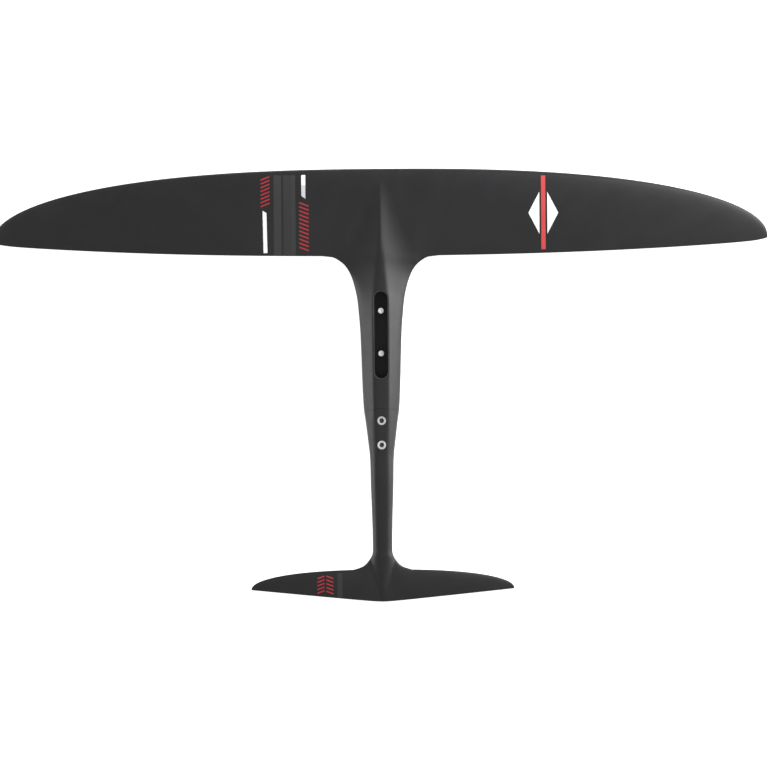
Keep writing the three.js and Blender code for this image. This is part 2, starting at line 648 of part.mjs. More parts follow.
const tailPlan = (frontY) =>
  winglikePlan({
    tipX: STAB_HALF_SPAN,
    joinX: STAB_JOIN_X,
    front: (x) => stabLeadingEdge(Math.max(Math.abs(x), STAB_JOIN_X)),
    rear: stabTrailingEdge,
    chordSteps: STAB_CHORD_STEPS,
    spanSteps: STAB_SPAN_STEPS,
    bodyRows: [[halfWidth(frontY), frontY], ...bodyRowsBetween(frontY, STAB_NOSE_Y)],
    wingFirst: false,
  });

function tailUpperSkin() {
  const skin = slab(tailPlan(LAP_FRONT_Y - 2 * SEAM), skinUnder(TAIL_SKIN), topZ);
  return cut(skin, ...Object.keys(TAIL_SCREW_YS).map(countersink));
}

const tailLowerSkin = () => slab(tailPlan(LAP_REAR_Y - 2 * SEAM), bottomZ, skinOver(TAIL_SKIN));

function boomCore() {
  const front = LAP_REAR_Y - LAP_WALL - CORE_SPLIT;
  const rear = STAB_NOSE_Y + BOOM_CORE_END;
  const ys = evenSteps(BOOM_CORE_STEPS).map((t) => mix(front, rear, t));
  const half = (y) => Math.min(halfWidth(y), BOOM_CORE_HALF_WIDTH) - LAP_INSET;
  return slab(bodyPatch(ys, half), tailCoreLow, tailCoreHigh);
}

function stabilizerCore() {
  const [front, rear] = STAB_CORE_SHARES.map(
    (share) => (x) => mix(stabLeadingEdge(x), stabTrailingEdge(x), share),
  );
  return slab(patch(mirrored(STAB_CORE_XS), front, rear, evenSteps(3)), tailCoreLow, tailCoreHigh);
}

// ---------- fasteners ----------

// The outline of a six-lobe socket
function lobedOutline(radius) {
  const outline = new THREE.Shape();
  for (let i = 0; i < ROUND_STEPS; i += 1) {
    const angle = (2 * Math.PI * i) / ROUND_STEPS;
    const r = radius * (1 - LOBE_DEPTH * (1 - Math.cos(6 * angle)));
    outline[i ? "lineTo" : "moveTo"](r * Math.cos(angle), r * Math.sin(angle));
  }
  outline.closePath();
  return outline;
}

// A countersunk screw, head up, with the top of its head at z = 0
function countersunkScrew(size, length) {
  const body = turned([
    [0, -length],
    [size.shank - TIP_CHAMFER, -length],
    [size.shank, -length + TIP_CHAMFER],
    [size.shank, -(size.head - size.shank) - HEAD_RIM],
    [size.head, -HEAD_RIM],
    [size.head, 0],
    [0, 0],
  ]);
  const socket = new THREE.ExtrudeGeometry(lobedOutline(size.socket), {
    depth: size.socketDepth + OVERCUT,
    bevelEnabled: false,
  });
  return cut(body, socket.translate(0, 0, -size.socketDepth));
}

// ---------- assembly ----------

const model = new THREE.Group();

function place(name, geometry, material, position = [0, 0, 0]) {
  const mesh = new THREE.Mesh(geometry, material);
  mesh.name = name;
  mesh.position.set(...position);
  model.add(mesh);
  return mesh;
}

place("front_upper_skin", frontUpperSkin(), carbon);
place("front_lower_skin", frontLowerSkin(), carbon);
place("main_spar", mainSpar(), spar);
place("fuselage_core", fuselageCore(), foam);
for (const [name, side] of [["left", -1], ["right", 1]]) {
  place(`leading_core_${name}`, leadingCore(side), foam);
  place(`trailing_core_${name}`, trailingCore(side), foam);
}
place("mast_pocket_liner", mastPocketLiner(), liner);
place("front_tongue", frontTongue(), laminate);

place("tail_upper_skin", tailUpperSkin(), carbon);
place("tail_lower_skin", tailLowerSkin(), carbon);
place("tail_tongue", tailTongue(), laminate);
place("boom_core", boomCore(), foam);
place("stabilizer_core", stabilizerCore(), laminate);

for (const [name, y] of Object.entries(MAST_BOLT_YS)) {
  place(`mast_bolt_bush_${name}`, mastBoltBush(y), steel);
  const bolt = countersunkScrew(M8, MAST_BOLT_LENGTH);
  place(`mast_bolt_${name}`, bolt, steel, [0, y, BELLY_Z + HEAD_SINK]).rotation.x = Math.PI;
}
for (const [name, y] of Object.entries(TAIL_SCREW_YS)) {
  place(`screw_insert_${name}`, screwInsert(y), brass);
  const screw = countersunkScrew(M6, TAIL_SCREW_LENGTHS[name]);
  place(`tail_screw_${name}`, screw, steel, [0, y, topZ(0, y) - HEAD_SINK]);
}

export default model;
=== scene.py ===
# The looks of a hydrofoil wing set, in metres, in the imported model's own frame.
# Shapes are worked out in millimetres, as in the CAD model, and scaled when a mesh is made.
import math

import bpy
import numpy as np
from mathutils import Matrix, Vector


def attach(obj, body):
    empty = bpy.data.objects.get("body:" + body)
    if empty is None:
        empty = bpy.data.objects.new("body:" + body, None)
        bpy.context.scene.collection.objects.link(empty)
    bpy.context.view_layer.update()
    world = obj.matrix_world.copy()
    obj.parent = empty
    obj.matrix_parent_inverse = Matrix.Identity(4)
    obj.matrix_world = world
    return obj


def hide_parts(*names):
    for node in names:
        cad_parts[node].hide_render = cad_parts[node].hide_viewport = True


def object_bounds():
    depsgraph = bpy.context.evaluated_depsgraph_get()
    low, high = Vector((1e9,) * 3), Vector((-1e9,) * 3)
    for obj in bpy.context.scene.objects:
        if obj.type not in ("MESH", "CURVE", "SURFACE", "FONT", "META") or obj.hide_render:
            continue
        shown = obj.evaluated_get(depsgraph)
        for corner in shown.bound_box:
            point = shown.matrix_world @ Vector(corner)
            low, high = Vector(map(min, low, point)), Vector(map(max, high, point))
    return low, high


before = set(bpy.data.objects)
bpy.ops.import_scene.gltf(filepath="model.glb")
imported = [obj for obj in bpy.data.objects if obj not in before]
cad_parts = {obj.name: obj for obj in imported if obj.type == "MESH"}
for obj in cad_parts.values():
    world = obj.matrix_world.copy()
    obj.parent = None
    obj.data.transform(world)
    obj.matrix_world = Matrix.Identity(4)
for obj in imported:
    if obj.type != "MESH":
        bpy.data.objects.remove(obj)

CAD_BOX = [list(corner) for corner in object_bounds()]
MM = 0.001

# ---------- driving dimensions, in millimetres, as in the CAD model ----------

HALF_SPAN, NOSE_Y, LE_SWEEP, LE_POWER = 545, 229.6, 96.6, 2.5
ROOT_TE_Y, TE_SWEEP, TE_POWER = 107.1, 18.8, 2.35
TIP_ROUND, TIP_ROUND_POWER = 3.5, 45
WING_JOIN_X = 82.4
WING_THICKNESS, WING_THINNING, WING_UPPER_SHARE = 0.118, 0.035, 0.64
TIP_DROP, TIP_DROP_POWER, WING_FADE_Y = 26, 2.4, 93

STAB_HALF_SPAN, STAB_NOSE_Y, STAB_SWEEP = 185, -333.5, 27
STAB_TAIL_Y, STAB_TE_SWEEP, STAB_APEX_ROUND = -379.9, 18.1, 0.06
STAB_JOIN_X, STAB_THICKNESS, STAB_UPPER_SHARE = 41.3, 0.112, 0.5
STAB_TIP_DROP, BOOM_DROP, BOOM_DROP_END_Y, STAB_FADE_Y = 16, 10, -345, -306

# One side of the fuselage and boom in plan, from the wing's trailing edge back to the stabilizer
SIDE_OUTLINE = [
    (71.4, 106.6), (61.6, 103), (49.5, 93.2), (40.5, 76.7), (33.9, 51.3), (31, 25.9), (29.1, 0),
    (27.7, -40), (26.7, -72), (25.2, -101), (22.4, -126), (19.4, -151.6), (16.8, -177),
    (16, -215), (14.5, -260), (13.7, -300), (14.6, -312.2), (19.2, -320.6), (27.4, -329),
]

# Sections of the fuselage and boom, from the nose back: station, roof height, the roof's flat and foot,
# fairing height above and below the parting surface, and the fairing's half width, bulge and edge powers
BODY_STATIONS = np.array([
    (212, 0, 0, 8, 0, 0, 12, 1.6, 2),
    (199, 1.2, 0, 15, 1.2, 3, 20, 1.6, 2),
    (179, 3.2, 0, 22, 2.2, 8, 28, 1.6, 1.9),
    (155, 5.8, 0, 30, 2.5, 12.5, 38, 1.6, 1.8),
    (130, 8.3, 0.6, 42, 3.5, 16, 50, 1.6, 1.5),
    (116, 9.9, 2.4, 50, 3.3, 17.4, 58, 1.6, 1.25),
    (102, 11.4, 4.2, 58, 2.8, 18.3, 58, 2, 1),
    (85, 10.9, 6.2, 48, 4.2, 19, 46, 2.6, 0.8),
    (66, 9.9, 8.2, 41, 6.4, 19.4, 40, 3.2, 0.62),
    (40, 9.4, 10.8, 34, 8.5, 19.5, 36, 4, 0.55),
    (5, 9.6, 12.2, 30.5, 8.7, 19.5, 32, 4.5, 0.5),
    (-75, 9.9, 12, 28.5, 8.9, 19.5, 30, 4.5, 0.5),
    (-106, 8.6, 11.4, 27, 9.1, 18.4, 28, 4.3, 0.5),
    (-128, 5, 10, 24, 11, 17, 26, 4.2, 0.5),
    (-158, 2, 8, 20, 11.7, 14.6, 22, 3.4, 0.5),
    (-185, 0, 5, 12, 11.6, 12.4, 20, 3, 0.5),
    (-240, 0, 4, 10, 10, 10.4, 18, 2.8, 0.5),
    (-305, 0, 3, 9, 8.2, 8.4, 16, 2.6, 0.55),
    (-335, 0, 2, 8, 5.6, 5.6, 15, 2, 1),
    (-360, 0, 1, 6, 2.2, 2.2, 9, 1.7, 1.4),
    (-377, 0, 0, 4, 0, 0, 4, 1.6, 1.6),
])
ROOF_ROUND, ROOF_HOLLOW = 3, 1.8  # a radius at the roof's flat and foot, and a power that hollows its sides

PART_Z, RIM, WING_SKIN, TAIL_SKIN = 6, 0.5, 1.6, 1.1
SEAM = 0.03  # half the gap between two mouldings, a hairline
LAP_FRONT_Y, LAP_REAR_Y, LAP_BOW, LAP_BOW_REACH = -107.5, -178.5, 2.8, 22
LAP_GAP, LAP_WALL, LAP_INSET = 0.12, 5, 3.6
POCKET_HALF_WIDTH, POCKET_FRONT_Y, POCKET_REAR_Y = 9.5, 57, -65
LINER_WALL, LINER_FLOOR = 1, 3
BOND, FIT_GAP, HEAD_SINK = 0.9, 0.35, 0.5

TAIL_SCREWS = {"front": (-124.3, 25), "rear": (-158.5, 20)}  # station and length
MAST_BOLTS = {"front": (30, 30), "rear": (-30, 30)}
BUSH_RADIUS, INSERT_RADIUS, INSERT_LENGTH = 9.5, 5, 10
M6 = dict(shank=3, head=6.1, socket=3.6, socket_depth=2.6, pitch=1)
M8 = dict(shank=4, head=8, socket=3.4, socket_depth=3, pitch=1.25)

# ---------- plan shape ----------

SIDE_STEPS = 40  # points on the side's curve to each of its driving points
LEAST_LENGTH = 1e-6  # keeps a share of a chord from dividing by zero


def smooth(t):
    """From 0 to 1 as t does, level at both ends."""
    t = np.clip(t, 0, 1)
    return t * t * (3 - 2 * t)


def leading_edge(x):
    return NOSE_Y - LE_SWEEP * (1 - np.sqrt(np.clip(1 - np.abs(x / HALF_SPAN) ** LE_POWER, 0, 1)))


def trailing_edge(x):
    share = np.abs(x / HALF_SPAN)
    return ROOT_TE_Y + TE_SWEEP * share**TE_POWER + TIP_ROUND * share**TIP_ROUND_POWER


def stab_leading_edge(x):
    share = np.abs(x / STAB_HALF_SPAN)
    return STAB_NOSE_Y - STAB_SWEEP * (1 - np.sqrt(np.clip(1 - share**LE_POWER, 0, 1)))


def stab_trailing_edge(x):
    return STAB_TAIL_Y + STAB_TE_SWEEP * np.hypot(x / STAB_HALF_SPAN, STAB_APEX_ROUND)


def catmull_rom(points, steps_each):
    """Points along the smooth curve through the given ones, a uniform Catmull-Rom spline."""
    p = np.array(points, float)
    out = []
    for i in range(len(p) - 1):
        before, a, b, after = p[max(i - 1, 0)], p[i], p[i + 1], p[min(i + 2, len(p) - 1)]
        if i == 0:
            before = a
        if i == len(p) - 2:
            after = b
        slope_a, slope_b = (b - before) / 2, (after - a) / 2
        for t in np.arange(steps_each) / steps_each:
            cubic = 2 * a - 2 * b + slope_a + slope_b
            square = -3 * a + 3 * b - 2 * slope_a - slope_b
            out.append(cubic * t**3 + square * t**2 + slope_a * t + a)
    return np.array(out + [p[-1]])


SIDE_START = (WING_JOIN_X, trailing_edge(WING_JOIN_X))
SIDE_END = (STAB_JOIN_X, stab_leading_edge(STAB_JOIN_X))
SIDE = catmull_rom([SIDE_START, *SIDE_OUTLINE, SIDE_END], SIDE_STEPS)
WAIST = int(SIDE[:, 0].argmin())


def half_width(y):
    """Half the width of the fuselage and boom."""
    return np.interp(-np.asarray(y, float), -SIDE[:, 1], SIDE[:, 0])


def front_side_y(x):
    """Where the side passes x ahead of the waist."""
    return np.interp(np.abs(x), SIDE[: WAIST + 1][::-1, 0], SIDE[: WAIST + 1][::-1, 1])


def rear_side_y(x):
    """Where the side passes x behind the waist."""
    return np.interp(np.abs(x), SIDE[WAIST:, 0], SIDE[WAIST:, 1])


def bent(x, y):
    """y moved to follow the lap seam's bow, which dies away on both sides of the seam."""
    near = smooth(1 - np.abs(y - LAP_FRONT_Y) / LAP_BOW_REACH)
    return y - LAP_BOW * near * (x / half_width(LAP_FRONT_Y)) ** 2


# ---------- sections ----------

SLOPE_STEP, STEEPEST_SLANT = 0.25, 12


def section_shape(t):
    """Thickness of a NACA four-digit section along its chord, as a share of its greatest."""
    s = np.clip(t, 0, 1)
    return 10 * (0.2969 * np.sqrt(s) - 0.126 * s - 0.3516 * s**2 + 0.2843 * s**3 - 0.1036 * s**4)


def wing_thickness(x, y):
    """Thickness of the front wing, or 0 outside it."""
    front = leading_edge(x)
    rear = np.where(np.abs(x) < WING_JOIN_X, np.maximum(front_side_y(x), WING_FADE_Y), trailing_edge(x))
    ratio = WING_THICKNESS - WING_THINNING * np.abs(x / HALF_SPAN)
    share = (front - y) / np.maximum(front - rear, LEAST_LENGTH)
    inside = (y <= front) & (y >= rear)
    return np.where(inside, ratio * (front - trailing_edge(x)) * section_shape(share), 0)


def stab_thickness(x, y):
    """Thickness of the stabilizer, or 0 outside it."""
    inner = np.minimum(rear_side_y(x), STAB_FADE_Y)
    front = np.where(np.abs(x) < STAB_JOIN_X, inner, stab_leading_edge(x))
    rear = stab_trailing_edge(x)
    share = (front - y) / np.maximum(front - rear, LEAST_LENGTH)
    inside = (y <= front) & (y >= rear) & (np.abs(x) <= STAB_HALF_SPAN)
    return np.where(inside, STAB_THICKNESS * (stab_leading_edge(x) - rear) * section_shape(share), 0)


def body_at(y):
    """The section's values at stations along the fuselage, one row for each y."""
    known = BODY_STATIONS
    y = np.clip(y, known[-1, 0], known[0, 0])
    after = np.clip(np.searchsorted(-known[:, 0], -y), 1, len(known) - 1)
    i0, i1 = after - 1, after
    before, beyond = np.maximum(i0 - 1, 0), np.minimum(i1 + 1, len(known) - 1)
    a, b = known[i0], known[i1]
    run = (b[:, 0] - a[:, 0])[:, None]
    t = ((y - a[:, 0])[:, None]) / run
    slope_a = (b - known[before]) / (b[:, 0] - known[before][:, 0])[:, None] * run
    slope_b = (known[beyond] - a) / (known[beyond][:, 0] - a[:, 0])[:, None] * run
    cubic = (
        a * (2 * t**3 - 3 * t**2 + 1)
        + slope_a * (t**3 - 2 * t**2 + t)
        + b * (3 * t**2 - 2 * t**3)
        + slope_b * (t**3 - t**2)
    )
    return np.where(a == b, a, cubic)


def body_heights(x, y):
    """Heights of the fairing above and below the parting surface, and of the roof."""
    shape = x.shape
    x, y = np.abs(x).ravel(), y.ravel()
    _, roof, flat, foot, above, below, half, bulge, edge = body_at(y).T
    half = np.minimum(half, half_width(y))
    fall = (1 - np.clip(x / half, 0, 1) ** bulge) ** edge
    ramp_down = ramp(x - flat) - ramp(x - foot)
    ridge = np.maximum(0, roof) * (1 - ramp_down / (foot - flat)) ** ROOF_HOLLOW
    return [v.reshape(shape) for v in (np.maximum(0, above) * fall, np.maximum(0, below) * fall, ridge)]


def ramp(u):
    """0 below 0 and u above it, with the corner rounded."""
    return (u + np.hypot(u, ROOF_ROUND)) / 2


def parting_z(x, y):
    """Height of the surface where upper and lower mouldings meet."""
    wing = TIP_DROP * np.abs(x / HALF_SPAN) ** TIP_DROP_POWER
    boom = BOOM_DROP * smooth((LAP_REAR_Y - y) / (LAP_REAR_Y - BOOM_DROP_END_Y))
    tips = np.where(y < STAB_FADE_Y, STAB_TIP_DROP * (x / STAB_HALF_SPAN) ** 2, 0)
    return PART_Z - np.where(y > WING_FADE_Y, wing, boom + tips)


def top_z(x, y):
    fairing, _, roof = body_heights(x, y)
    lift = np.hypot(WING_UPPER_SHARE * wing_thickness(x, y), STAB_UPPER_SHARE * stab_thickness(x, y))
    return parting_z(x, y) + RIM + np.hypot(lift, fairing) + roof


def bottom_z(x, y):
    _, fairing, _ = body_heights(x, y)
    wing = (1 - WING_UPPER_SHARE) * wing_thickness(x, y)
    stab = (1 - STAB_UPPER_SHARE) * stab_thickness(x, y)
    return parting_z(x, y) - RIM - np.hypot(np.hypot(wing, stab), fairing)


def slant(height, x, y):
    """How many times deeper a skin measures straight down than through it, where height(x, y) slopes."""
    x_slope = (height(np.abs(x) - SLOPE_STEP, y) - height(np.abs(x), y)) / SLOPE_STEP
    y_slope = (height(x, y + SLOPE_STEP) - height(x, y - SLOPE_STEP)) / (2 * SLOPE_STEP)
    return np.minimum(STEEPEST_SLANT, np.sqrt(1 + x_slope**2 + y_slope**2))


def under_top(thickness):
    """The inside of an upper skin, which stops at the parting surface."""

    def height(x, y):
        inside = top_z(x, y) - thickness * slant(top_z, x, y)
        return np.maximum(inside, parting_z(x, y) + SEAM)

    return height


def over_bottom(thickness):
    """The inside of a lower skin, which stops at the parting surface."""

    def height(x, y):
        inside = bottom_z(x, y) + thickness * slant(bottom_z, x, y)
        return np.minimum(inside, parting_z(x, y) - SEAM)

    return height


# ---------- mesh building ----------

CHORD_STEPS, SPAN_STEPS = 46, 64
STAB_CHORD_STEPS, STAB_SPAN_STEPS = 30, 40
COLUMN_STEPS, FEW_COLUMN_STEPS, COLUMN_CROWDING = 46, 12, 1.35
ROW_PITCH, ROW_CLEARANCE = 1.7, 0.3
HOLE_STEPS, HOLE_MARGINS = 14, np.array([0.15, 0.4, 0.8, 1.4])  # the margins are rows beyond a hole's ends
JOINT_MARGINS = np.array([0.08, 0.2, 0.4, 0.8])
WELD_DIGITS = 4
SMOOTH_BELOW_DEG = 32


def column_shares(steps):
    """Shares of the half width from the centre line out, closer together towards the edge."""
    return np.sin(np.pi / 2 * (np.arange(steps + 1) / steps) ** COLUMN_CROWDING)


COLUMNS = column_shares(COLUMN_STEPS)
FEW_COLUMNS = column_shares(FEW_COLUMN_STEPS)


def mirrored(values):
    """Values that start at 0, on both sides of it."""
    return np.concatenate([-values[:0:-1], values])


def cosine_steps(n):
    """n steps from 0 to 1, closer together at both ends."""
    return (1 - np.cos(np.pi * np.arange(n + 1) / n)) / 2


class Hole:
    """An upright hole on the centre line: straight between its front and rear, with round ends."""

    def __init__(self, half, front, rear):
        self.half, self.front, self.rear = half, front, rear

    def half_at(self, y):
        """Half the hole's width at a station, or 0 clear of the hole."""
        beyond = np.maximum(y - self.front + self.half, 0) + np.maximum(self.rear + self.half - y, 0)
        inside = (y <= self.front) & (y >= self.rear)
        return np.where(inside, np.sqrt(np.maximum(self.half**2 - beyond**2, 0)), 0)

    def rows(self):
        """Stations that follow the hole's round ends and the skin just past them."""
        round_end = self.half * (1 - np.cos(np.pi / 2 * np.arange(HOLE_STEPS + 1) / HOLE_STEPS))
        ends = [self.front - round_end, self.rear + round_end]
        return np.concatenate([*ends, self.front + HOLE_MARGINS, self.rear - HOLE_MARGINS])

    def away(self, x, y):
        """The nearest point of the hole's spine to a point, and how far the point is from it."""
        spine = np.clip(y, self.rear + self.half, self.front - self.half)
        return spine, np.hypot(x, y - spine)

    def clearance(self, x, y):
        """How far outside the hole's edge a point is."""
        return self.away(x, y)[1] - self.half


class Joint:
    """The edge of a moulding where it meets another across the fuselage."""

    def __init__(self, y, side):
        self.y, self.side = y, side  # side is 1 for the moulding ahead of the edge, -1 for the one behind

    def rows(self):
        return self.y + self.side * JOINT_MARGINS

    def clearance(self, x, y):
        return self.side * (y - bent(x, self.y))


def round_hole(y, radius):
    return Hole(radius, y + radius, y - radius)


def rows_between(front, rear, holes=(), extra=()):
    """Stations from front to rear, closer together round each hole."""
    base = np.linspace(front, rear, max(2, int((front - rear) / ROW_PITCH)))
    fine = [row for hole in holes for row in hole.rows() if rear < row < front] + list(extra)
    clear = [row for row in base if not fine or min(abs(row - f) for f in fine) > ROW_CLEARANCE]
    kept = sorted({front, rear, *clear})
    return np.array(sorted(set(kept + fine), reverse=True))


def centre_blocks(ys, width, holes=(), shares=COLUMNS):
    """Plan grids for the two sides of a long shape, which part round each hole."""
    edge = sum((hole.half_at(ys) for hole in holes), np.zeros_like(ys))
    xs = edge[:, None] + (width(ys) - edge)[:, None] * shares[None, :]
    grid_y = bent(xs, np.repeat(ys[:, None], xs.shape[1], axis=1))
    return [np.stack([xs, grid_y], -1), np.stack([-xs, grid_y], -1)]


def wing_block(tip, join, front, rear, chord_steps, span_steps):
    """A plan grid from tip to tip. Inside the join its columns are the fuselage's or the boom's."""
    outer = tip - (tip - join) * (1 - np.arange(1, span_steps + 1) / span_steps) ** 2
    xs = mirrored(np.concatenate([COLUMNS * join, outer]))
    shares = cosine_steps(chord_steps)[:, None]
    ys = front(xs)[None, :] * (1 - shares) + rear(xs)[None, :] * shares
    return np.stack([np.repeat(xs[None, :], chord_steps + 1, axis=0), ys], -1)


def weld(blocks):
    """The grids' points, shared where they meet, and the faces between them, which face up."""
    points, index, faces = [], {}, []
    for grid in blocks:
        ids = np.empty(grid.shape[:2], int)
        for r, c in np.ndindex(*ids.shape):
            key = tuple(np.round(grid[r, c], WELD_DIGITS) + 0.0)
            if key not in index:
                index[key] = len(points)
                points.append(grid[r, c])
            ids[r, c] = index[key]
        for r, c in np.ndindex(ids.shape[0] - 1, ids.shape[1] - 1):
            corners = tuple(dict.fromkeys((ids[r, c], ids[r + 1, c], ids[r + 1, c + 1], ids[r, c + 1])))
            if len(corners) > 2:
                faces.append(corners)
    points = np.array(points)
    return points, [face if facing_up(points, face) else face[::-1] for face in faces]


def facing_up(points, face):
    """Whether the face's corners run anticlockwise in plan."""
    x, y = points[list(face)].T
    return np.dot(x, np.roll(y, -1)) > np.dot(y, np.roll(x, -1))


def slab(name, blocks, low, high, wall=None):
    """A closed mesh between two heights over plan grids.

    wall(x, y) may give the points down the side below a point of the outline, or None for a plain side."""
    points, tops = weld(blocks)
    x, y = points.T
    count = len(points)
    above = np.column_stack([x, y, high(x, y)])
    below = np.column_stack([x, y, low(x, y)])
    vertices = np.concatenate([above, below]).tolist()
    edges = {(face[i], face[(i + 1) % len(face)]) for face in tops for i in range(len(face))}
    outline = [(a, b) for a, b in sorted(edges) if (b, a) not in edges]
    chains = {}
    for a in {v for edge in outline for v in edge}:
        middle = (wall(*points[a]) if wall else None) or []
        chains[a] = [a, *range(len(vertices), len(vertices) + len(middle)), a + count]
        vertices += [list(point) for point in middle]
    faces = tops + [tuple(v + count for v in reversed(face)) for face in tops]
    for a, b in outline:
        left, right = chains[a], chains[b]
        faces += [(right[i], left[i], left[i + 1], right[i + 1]) for i in range(len(left) - 1)]
    return new_object(name, vertices, faces)


def new_object(name, vertices_mm, faces):
    """A mesh in the scene, shaded smooth except across its sharp edges."""
    mesh = bpy.data.meshes.new(name)
    mesh.from_pydata((np.asarray(vertices_mm, float) * MM).tolist(), [], [list(map(int, f)) for f in faces])
    mesh.shade_smooth()
    mesh.set_sharp_from_angle(angle=math.radians(SMOOTH_BELOW_DEG))
    piece = bpy.data.objects.new(name, mesh)
    bpy.context.scene.collection.objects.link(piece)
    return piece


ROUND_STEPS = 60
ANGLES = 2 * np.pi * np.arange(ROUND_STEPS) / ROUND_STEPS


def turned(name, rings, y, z=0, flip=False):
    """A turned piece about an upright axis. A ring is a radius, or one for each of ANGLES, and a height.

    Rings that start and end at radius 0 make a solid, and others close on themselves into a sleeve."""
    solid = np.isscalar(rings[0][0]) and rings[0][0] == 0
    loops, vertices = [], []
    for radius, height in rings:
        if np.isscalar(radius) and radius == 0:
            loops.append([len(vertices)] * ROUND_STEPS)
            vertices.append((0, 0, height))
            continue
        r = np.broadcast_to(radius, ROUND_STEPS)
        h = np.broadcast_to(height, ROUND_STEPS)
        loops.append(list(range(len(vertices), len(vertices) + ROUND_STEPS)))
        vertices += zip(r * np.cos(ANGLES), r * np.sin(ANGLES), h)
    faces = []
    for low, high in zip(loops, loops[1:] + ([] if solid else loops[:1])):
        for k in range(ROUND_STEPS):
            n = (k + 1) % ROUND_STEPS
            corners = tuple(dict.fromkeys((low[k], low[n], high[n], high[k])))
            faces.append(corners)
    placed = np.array(vertices, float) * ([1, -1, -1] if flip else [1, 1, 1]) + [0, y, z]
    return new_object(name, placed, faces)


# ---------- mouldings ----------

POCKET = Hole(POCKET_HALF_WIDTH, POCKET_FRONT_Y, POCKET_REAR_Y)
POCKET_MOUTH = Hole(
    POCKET_HALF_WIDTH + LINER_WALL + SEAM,
    POCKET_FRONT_Y + LINER_WALL + SEAM,
    POCKET_REAR_Y - LINER_WALL - SEAM,
)
SCREW_HOLES = [round_hole(y, M6["head"] + FIT_GAP) for y, _ in TAIL_SCREWS.values()]
BUSH_HOLES = [round_hole(y, BUSH_RADIUS + SEAM) for y, _ in MAST_BOLTS.values()]
POCKET_LIP, HOLE_LIP, JOINT_LIP = 0.7, 0.25, 0.22  # rounding of each kind of edge
FRONT_JOINT, TAIL_JOINT = Joint(LAP_FRONT_Y, 1), Joint(LAP_FRONT_Y - LAP_GAP, -1)


def eased(height, edges, lip, side):
    """A skin rounded over at each hole or joint: side is 1 for a top and -1 for a bottom."""

    def rounded(x, y):
        drop = 0
        for edge in edges:
            inside = np.clip(lip - edge.clearance(x, y), 0, lip)
            drop = drop + lip - np.sqrt(lip**2 - inside**2)
        return height(x, y) - side * drop

    return rounded


def front_rear_edge(x):
    """The wing's rear edge, which runs straight across between its joins to the fuselage."""
    return trailing_edge(np.maximum(np.abs(x), WING_JOIN_X))


def stab_front_edge(x):
    """The stabilizer's front edge, which runs straight across between its joins to the boom."""
    return stab_leading_edge(np.maximum(np.abs(x), STAB_JOIN_X))


WING_BLOCK = wing_block(HALF_SPAN, WING_JOIN_X, leading_edge, front_rear_edge, CHORD_STEPS, SPAN_STEPS)
STAB_BLOCK = wing_block(
    STAB_HALF_SPAN, STAB_JOIN_X, stab_front_edge, stab_trailing_edge, STAB_CHORD_STEPS, STAB_SPAN_STEPS
)
FUSELAGE_FRONT_Y = float(front_rear_edge(0))
BOOM_REAR_Y = float(stab_front_edge(0))


def front_upper_shell():
    ys = rows_between(FUSELAGE_FRONT_Y, LAP_FRONT_Y, [POCKET_MOUTH], FRONT_JOINT.rows())
    blocks = [WING_BLOCK, *centre_blocks(ys, half_width, [POCKET_MOUTH])]
    high = eased(eased(top_z, [POCKET_MOUTH], POCKET_LIP, 1), [FRONT_JOINT], JOINT_LIP, 1)
    return slab("front_upper_shell", blocks, under_top(WING_SKIN), high)


def front_lower_shell():
    ys = rows_between(FUSELAGE_FRONT_Y, LAP_REAR_Y, BUSH_HOLES)
    blocks = [WING_BLOCK, *centre_blocks(ys, half_width, BUSH_HOLES)]
    outside = eased(bottom_z, BUSH_HOLES, HOLE_LIP, -1)
    return slab("front_lower_shell", blocks, outside, over_bottom(WING_SKIN))


def tail_upper_shell():
    ys = rows_between(LAP_FRONT_Y - LAP_GAP, BOOM_REAR_Y, SCREW_HOLES, TAIL_JOINT.rows())
    blocks = [*centre_blocks(ys, half_width, SCREW_HOLES), STAB_BLOCK]
    high = eased(eased(top_z, SCREW_HOLES, HOLE_LIP, 1), [TAIL_JOINT], JOINT_LIP, 1)
    return slab("tail_upper_shell", blocks, under_top(TAIL_SKIN), high)


def tail_lower_shell():
    ys = rows_between(LAP_REAR_Y - LAP_GAP, BOOM_REAR_Y)
    blocks = [*centre_blocks(ys, half_width), STAB_BLOCK]
    return slab("tail_lower_shell", blocks, bottom_z, over_bottom(TAIL_SKIN))


def core_top(skin):
    """The top of what is bonded under an upper skin of that thickness."""
    return lambda x, y: under_top(skin)(x, y) - BOND * slant(top_z, x, y)


def core_bottom(skin):
    """The bottom of what is bonded over a lower skin of that thickness."""
    return lambda x, y: over_bottom(skin)(x, y) + BOND * slant(bottom_z, x, y)


def tongue_width(y):
    return half_width(y) - LAP_INSET


WALL_STEP = 0.01  # plan width of an upright step in a tongue


def front_lap_tongue():
    """Solid laminate under the joint's face, with the wall that closes the fuselage."""
    holes = [round_hole(y, INSERT_RADIUS + SEAM) for y, _ in TAIL_SCREWS.values()]
    ys = rows_between(LAP_FRONT_Y + LAP_WALL, LAP_REAR_Y, holes, [LAP_FRONT_Y, LAP_FRONT_Y - WALL_STEP])

    def high(x, y):
        on_wall = y >= bent(x, LAP_FRONT_Y) - WALL_STEP / 2
        return np.where(on_wall, core_top(WING_SKIN)(x, y), PART_Z - SEAM)

    blocks = centre_blocks(ys, tongue_width, holes, FEW_COLUMNS)
    return slab("front_lap_tongue", blocks, core_bottom(WING_SKIN), high)


